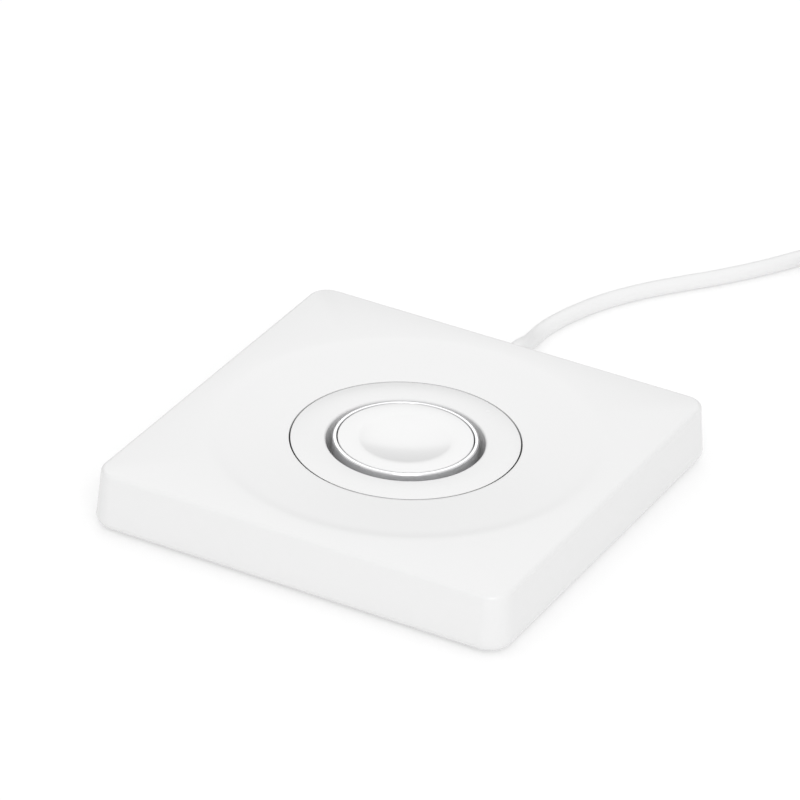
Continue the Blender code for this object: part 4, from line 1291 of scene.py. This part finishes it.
arm = softened("hinge_arm", "gooseneck", 0.0001, ZINC)
ears = [softened(f"hinge_ear_{side}", f"ear_{side}", 0.0001, ZINC) for side in SIDES]
bars = [softened(f"ballast_{side}", f"bar_{side}", 0.0001, BALLAST) for side in SIDES]
board = softened("main_board", "circuit_board", 0.00004, BOARD_GREEN, 1)
cover = softened("bottom_cover", "base_cover", 0.00012, INNER_WHITE)
print("gooseneck:", len(arm.data.polygons), "faces; cover:", len(cover.data.polygons))

# %% The well
TRAY_LOW, TRAY_HIGH = corners_of("well_tray")
TRAY_WALL = 0.0012
TRAY_OUT = TRAY_HIGH.x
TRAY_IN = TRAY_OUT - TRAY_WALL
TRAY_FLOOR = 0.0007
tray_top_z = BACK_LOW.z - CLEAR
PIN_LOW, PIN_HIGH = corners_of("hinge_pin")
AXIS_Y = (PIN_LOW.y + PIN_HIGH.y) / 2
AXIS_Z = (PIN_LOW.z + PIN_HIGH.z) / 2
SLOT_HALF = 0.0070
SLOT_BACK = AXIS_Y + 0.0036725           # behind the arm's lowest sweep
tray_profile = rounded((
    (0.0, tray_top_z - TRAY_FLOOR, 0.0),
    (TRAY_IN, tray_top_z - TRAY_FLOOR, 0.0),
    (TRAY_IN, TRAY_LOW.z, 0.0001),
    (TRAY_OUT, TRAY_LOW.z, 0.0002),
    (TRAY_OUT, TRAY_HIGH.z, 0.0003),
    (TRAY_IN, TRAY_HIGH.z, 0.0003),
    (TRAY_IN, tray_top_z, 0.0005),
    (0.0, tray_top_z, 0.0),
))
well = turn_piece("well", tray_profile, INNER_WHITE, steps=128)


def well_slot(shape):
    block(shape, (-SLOT_HALF, 2 * AXIS_Y, 0), (SLOT_HALF, SLOT_BACK, 2 * TOP))


BUMPER_BOXES = {side: corners_of(f"rest_bumper_{side}") for side in SIDES}


def rest_posts(shape):
    for low, high in BUMPER_BOXES.values():
        x, y = (low.x + high.x) / 2, (low.y + high.y) / 2
        place = Matrix.Translation((x, y, 0))
        rod_into(shape, (high.x - low.x) / 2, tray_top_z - TRAY_FLOOR / 2, low.z - CLEAR, place, 28)


carve(well, tool_from("well_slot", well_slot), "DIFFERENCE")
carve(well, tool_from("rest_posts", rest_posts), "UNION")
print("well:", len(well.data.polygons), "faces")

# %% Rests under the flap
rests = []
for side, (low, high) in BUMPER_BOXES.items():
    radius = (high.x - low.x) / 2
    profile = rounded((
        (0.0, low.z, 0.0),
        (radius, low.z, 0.0001),
        (radius, high.z, 0.0002),
        (0.0, high.z, 0.0),
    ))
    rest = turn_piece(f"rest_{side}", profile, SILICONE, steps=40)
    rest.data.transform(Matrix.Translation(((low.x + high.x) / 2, (low.y + high.y) / 2, 0)))
    rests.append(rest)

# %% Pin, clip and washers
PIN_R = 0.0006
PIN_BORE_R = PIN_R + 0.0002
PIN_HEAD_R = (PIN_HIGH.z - PIN_LOW.z) / 2
PIN_END_T = 0.0004
CLIP_LOW, CLIP_HIGH = corners_of("pin_clip")
pin_profile = rounded((
    (0.0, PIN_LOW.x, 0.0),
    (PIN_HEAD_R, PIN_LOW.x, 0.00015),
    (PIN_HEAD_R, PIN_LOW.x + PIN_END_T, 0.00005),
    (PIN_R, PIN_LOW.x + PIN_END_T, 0.0),
    (PIN_R, PIN_HIGH.x, 0.00015),
    (0.0, PIN_HIGH.x, 0.0),
))
pin = turn_piece("pin", pin_profile, BRIGHT_STEEL, steps=40)


def ring_piece(name, inner, outer, low, high, fillet, finish, steps):
    """A flat ring with rounded edges, whose profile is a loop."""
    corners = ((inner, low), (outer, low), (outer, high), (inner, high))
    profile = rounded([(r, z, fillet) for r, z in corners])
    profile.append(profile[0])
    return turn_piece(name, profile, finish, steps)


clip_r = (CLIP_HIGH.z - CLIP_LOW.z) / 2
clip = ring_piece("clip", PIN_BORE_R, clip_r, CLIP_LOW.x, CLIP_HIGH.x, 0.00008, BRIGHT_STEEL, 40)
washers = []
for side in SIDES:
    low, high = corners_of(f"friction_washer_{side}")
    outer = (high.z - low.z) / 2
    washers.append(
        ring_piece(f"washer_{side}", PIN_BORE_R, outer, low.x, high.x, 0.00006, BRIGHT_STEEL, 40)
    )
for piece in (pin, clip, *washers):
    piece.data.transform(facing_along((1, 0, 0), (0, AXIS_Y, AXIS_Z)))

# %% [markdown]
# ## Inside the puck
# A watch charges from a flat coil of fine copper wire, wound in two layers from the inside out.
# The wire follows a spiral, so a tree makes a spiral curve, gives it the wire's
# thickness, and lifts the second layer onto the first. Under it lie a ferrite ring, which keeps
# the field from the steel, a small board, and in the middle the magnet.

# %% Charging coil
COPPER_LOW, COPPER_HIGH = corners_of("charge_coil")
MAGNET_R = corners_of("puck_magnet")[1].x
WIRE_R = (COPPER_HIGH.z - COPPER_LOW.z) / 4 - 0.00002
WIRE_INNER = MAGNET_R + CLEAR + WIRE_R
WIRE_OUTER = COPPER_HIGH.x - WIRE_R
WIRE_TURNS = int((WIRE_OUTER - WIRE_INNER) / (2.04 * WIRE_R))


def winding_tree():
    tree, group, out = new_tree("Winding", (
        ("Nothing", "NodeSocketGeometry"),
        ("Turns", "NodeSocketFloat"),
        ("Inner radius", "NodeSocketFloat"),
        ("Outer radius", "NodeSocketFloat"),
        ("Wire radius", "NodeSocketFloat"),
        ("Layer height", "NodeSocketFloat"),
        ("Finish", "NodeSocketMaterial"),
    ))
    spiral = node(tree, "GeometryNodeCurveSpiral", {
        "Resolution": 48,
        "Rotations": group.outputs["Turns"],
        "Start Radius": group.outputs["Inner radius"],
        "End Radius": group.outputs["Outer radius"],
        "Height": 0.0,
    })
    section = node(tree, "GeometryNodeCurvePrimitiveCircle", {
        "Resolution": 8,
        "Radius": group.outputs["Wire radius"],
    })
    wire = node(tree, "GeometryNodeCurveToMesh", {
        "Curve": spiral.outputs["Curve"],
        "Profile Curve": section.outputs["Curve"],
        "Fill Caps": True,
    })
    step = node(tree, "ShaderNodeCombineXYZ", {"Z": group.outputs["Layer height"]})
    upper = node(tree, "GeometryNodeTransform", {
        "Geometry": wire.outputs["Mesh"],
        "Translation": step.outputs[0],
    })
    both = tree.nodes.new("GeometryNodeJoinGeometry")
    tree.links.new(wire.outputs["Mesh"], both.inputs[0])
    tree.links.new(upper.outputs["Geometry"], both.inputs[0])
    close_tree(tree, both.outputs[0], group.outputs["Finish"], out)
    return tree


winding_start = bpy.data.meshes.new("winding_start")
winding_start.from_pydata([(0, 0, 0)], [], [])
winding_mesh = grow_mesh("windings", winding_start, winding_tree(), {
    "Turns": float(WIRE_TURNS),
    "Inner radius": WIRE_INNER,
    "Outer radius": WIRE_OUTER,
    "Wire radius": WIRE_R,
    "Layer height": 2 * WIRE_R + 0.00002,
    "Finish": COPPER,
})
winding_mesh.transform(Matrix.Translation((0, 0, COPPER_LOW.z + WIRE_R + 0.00001)))
windings = piece_from("windings", winding_mesh)
print(f"windings: {WIRE_TURNS} turns in 2 layers, wire {2000 * WIRE_R:.2f} mm thick")

# %% Ferrite, magnet and board
FERRITE_LOW, FERRITE_HIGH = corners_of("ferrite_shield")
MAGNET_LOW, MAGNET_HIGH = corners_of("puck_magnet")
DISC_LOW, DISC_HIGH = corners_of("puck_board")
ferrite = ring_piece(
    "ferrite_ring",
    MAGNET_R + CLEAR,
    FERRITE_HIGH.x,
    FERRITE_LOW.z,
    FERRITE_HIGH.z,
    0.00012,
    FERRITE,
    96,
)
magnet = turn_piece("magnet", rounded((
    (0.0, MAGNET_LOW.z, 0.0),
    (MAGNET_R, MAGNET_LOW.z, 0.0003),
    (MAGNET_R, MAGNET_HIGH.z, 0.0003),
    (0.0, MAGNET_HIGH.z, 0.0),
)), NICKEL, steps=72)
disc_board = turn_piece("disc_board", rounded((
    (0.0, DISC_LOW.z, 0.0),
    (DISC_HIGH.x, DISC_LOW.z, 0.00005),
    (DISC_HIGH.x, DISC_HIGH.z, 0.00005),
    (0.0, DISC_HIGH.z, 0.0),
)), BOARD_GREEN, steps=96)

# %% [markdown]
# ## Parts on the main board
# The board carries a controller chip, an inductor, two capacitors and the socket for the lead.
# The chip's legs are two rows of small flat tabs, which come from the copies tree too.

# %% Parts on the board
BOARD_TOP = corners_of("main_board")[1].z
chip = softened("controller_chip", "chip", 0.00006, CHIP_BLACK)
inductor = softened("power_inductor", "inductor", 0.00006, FERRITE)
capacitors = [softened(f"capacitor_{k}", f"capacitor_body_{k}", 0.00005, TAN) for k in (1, 2)]
socket = softened("lead_socket", "socket", 0.00005, INNER_WHITE)
CHIP_LOW, CHIP_HIGH = corners_of("controller_chip")
LEGS_A_SIDE = 8
LEG_L = 0.0007
LEG_INSET = 0.0006                       # from the chip's corners to its outer legs
leg = rounded_block("leg", (-0.0001, -LEG_L, 0), (0.0001, 0.0, 0.00028), 0.00004, 1)
leg_places = []
for k in range(LEGS_A_SIDE):
    span = CHIP_HIGH.x - CHIP_LOW.x - 2 * LEG_INSET
    x = CHIP_LOW.x + LEG_INSET + span * k / (LEGS_A_SIDE - 1)
    for y in (CHIP_LOW.y, CHIP_HIGH.y + LEG_L):
        leg_places.append((x, y, BOARD_TOP + 0.00002))
legs = copied("chip_legs", leg, leg_places, BRIGHT_STEEL)

# %% [markdown]
# ## The table and the light
# The picture is a catalogue one: a white table, a white room, hardly a shadow. A plain white
# table would go nearly black in the slit under the pad. A light table doesn't, so the table
# glows by itself and only part of its white comes from the lights. The room is the world
# colour. White all round would wipe out the dish, because every slope would mirror the same
# white. So the room is dim low down behind the pad, where the near slope looks. A broad soft light
# behind the pad lifts the slopes that mirror it, and another in front lights the walls.

# %% Table
FLOOR_HALF = 6.0
GLOW = 0.33
TABLE_SHADE = 0.65
floor_mesh = bpy.data.meshes.new("table")
corners = [(-FLOOR_HALF, -FLOOR_HALF), (FLOOR_HALF, -FLOOR_HALF)]
corners += [(FLOOR_HALF, FLOOR_HALF), (-FLOOR_HALF, FLOOR_HALF)]
floor_mesh.from_pydata([(x, y, 0) for x, y in corners], [], [(0, 1, 2, 3)])
floor = piece_from("table", floor_mesh)
floor_paint, floor_tree, floor_shader = new_finish("table_white", 0.9)
floor_shader.inputs["Specular IOR Level"].default_value = 0.0
floor_shader.inputs["Emission Color"].default_value = (1, 1, 1, 1)
floor_shader.inputs["Emission Strength"].default_value = GLOW
table_grey = (TABLE_SHADE, TABLE_SHADE, TABLE_SHADE)
table_light = [1.01 * c for c in table_grey]
tint(floor_tree, floor_shader, object_noise(floor_tree, 3.0), table_grey, table_light)
floor_mesh.materials.append(floor_paint)

# %% Room
ROOM_OVERHEAD = 1.04
ROOM_HORIZON = 0.62
BAND_SHARE = 0.30                        # what is left of the light in the dim band
BAND_TOP = 0.44                          # the sines of the band's upper and lower height
BAND_FULL = 0.37
BAND_TURN = math.radians(12)             # its middle lies left of straight behind
BAND_SIDE_FROM = 0.25                    # the cosines at which the band starts and is full
BAND_SIDE_TO = 0.55
world = bpy.data.worlds.new("room")
world.use_nodes = True
room = world.node_tree
looking = room.nodes.new("ShaderNodeTexCoord").outputs["Generated"]
height = node(room, "ShaderNodeSeparateXYZ", {0: looking}).outputs["Z"]
overhead = node(room, "ShaderNodeMapRange", {
    "Value": height,
    "To Min": ROOM_HORIZON,
    "To Max": ROOM_OVERHEAD,
})
low = node(
    room,
    "ShaderNodeMapRange",
    {"Value": height, "From Min": BAND_TOP, "From Max": BAND_FULL},
    interpolation_type="SMOOTHSTEP",
)
band_middle = Matrix.Rotation(BAND_TURN, 3, "Z") @ Vector((-back.x, -back.y, 0))
behind = node(
    room,
    "ShaderNodeVectorMath",
    {0: looking, 1: band_middle},
    operation="DOT_PRODUCT",
)
facing = node(
    room,
    "ShaderNodeMapRange",
    {"Value": behind.outputs["Value"], "From Min": BAND_SIDE_FROM, "From Max": BAND_SIDE_TO},
    interpolation_type="SMOOTHSTEP",
)
kept = node(room, "ShaderNodeMapRange", {
    "Value": math_node(room, "MULTIPLY", low.outputs[0], facing.outputs[0]),
    "To Min": 1.0,
    "To Max": BAND_SHARE,
})
strength = math_node(room, "MULTIPLY", overhead.outputs[0], kept.outputs[0])
background = room.nodes["Background"]
background.inputs["Color"].default_value = (1, 1, 1, 1)
room.links.new(strength, background.inputs["Strength"])
bpy.context.scene.world = world

# %% Soft lights
def soft_light(name, place, width, depth, energy):
    """A broad lamp that faces the pad."""
    data = bpy.data.lights.new(name, "AREA")
    data.shape = "RECTANGLE"
    data.size = width
    data.size_y = depth
    data.energy = energy
    light = bpy.data.objects.new(name, data)
    light.location = place
    light.rotation_mode = "QUATERNION"
    light.rotation_quaternion = light.location.to_track_quat("Z", "Y")
    bpy.context.scene.collection.objects.link(light)


soft_light("front_light", (0.8, -1.2, 1.2), 1.0, 0.8, 9.4)
soft_light("back_light", (-0.45, 0.62, 0.60), 0.6, 0.5, 0.65)
bpy.context.scene.view_settings.view_transform = "Standard"

# %% [markdown]
# ## Which body each piece rides on
# A piece moves with a body of the CAD model and stands for its nodes there.

def settle(piece, body, slot, *nodes):
    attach(piece, body)
    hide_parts(*nodes)


settle(shell, "base", "shell_white", "top_housing")
settle(cover, "base", "inner_white", "bottom_cover")
settle(well, "base", "inner_white", "well_tray")
settle(foot_pad, "base", "foot_silicone", "foot_pad")
settle(foot_dots, "base", "foot_silicone")
settle(cover_screws, "base", "screw_steel", *COVER_SCREWS)
settle(ear_screws, "base", "screw_steel", *EAR_SCREWS)
settle(board_screws, "base", "screw_steel", *BOARD_SCREWS)
for piece, side in zip(rests, SIDES):
    settle(piece, "base", "foot_silicone", f"rest_bumper_{side}")
for piece, side in zip(ears, SIDES):
    settle(piece, "base", "hinge_zinc", f"hinge_ear_{side}")
for piece, side in zip(bars, SIDES):
    settle(piece, "base", "ballast_steel", f"ballast_{side}")
for piece, side in zip(washers, SIDES):
    settle(piece, "base", "bright_steel", f"friction_washer_{side}")
settle(pin, "base", "bright_steel", "hinge_pin")
settle(clip, "base", "bright_steel", "pin_clip")
settle(board, "base", "board_green", "main_board")
settle(chip, "base", "chip_black", "controller_chip")
settle(legs, "base", "bright_steel")
settle(inductor, "base", "ferrite_grey", "power_inductor")
for piece, number in zip(capacitors, (1, 2)):
    settle(piece, "base", "capacitor_tan", f"capacitor_{number}")
settle(socket, "base", "inner_white", "lead_socket")

settle(flap, "flap", "shell_white", "flap_plate")
settle(back_cover, "flap", "inner_white", "flap_back_cover")
settle(arm, "flap", "hinge_zinc", "hinge_arm")
settle(arm_screws, "flap", "screw_steel", *ARM_SCREWS)
settle(cup, "flap", "puck_steel", "puck_shell")
settle(cap, "flap", "cap_white", "puck_cap")
settle(windings, "flap", "coil_copper", "charge_coil")
settle(ferrite, "flap", "ferrite_grey", "ferrite_shield")
settle(magnet, "flap", "magnet_nickel", "puck_magnet")
settle(disc_board, "flap", "board_green", "puck_board")

settle(power_cord, "base", "cord_white", "cord_run", "cord_coil", "cord_tail")
settle(relief_boot, "base", "cord_white", "strain_relief")
settle(strap, "base", "foot_silicone", "cord_tie")
settle(plug_boot_piece, "base", "cord_white", "plug_boot")
settle(grip, "base", "plug_white", "plug_body")
settle(tip, "base", "plug_steel", "plug_tip")
settle(tongue, "base", "chip_black")
settle(contacts, "base", "bright_steel")
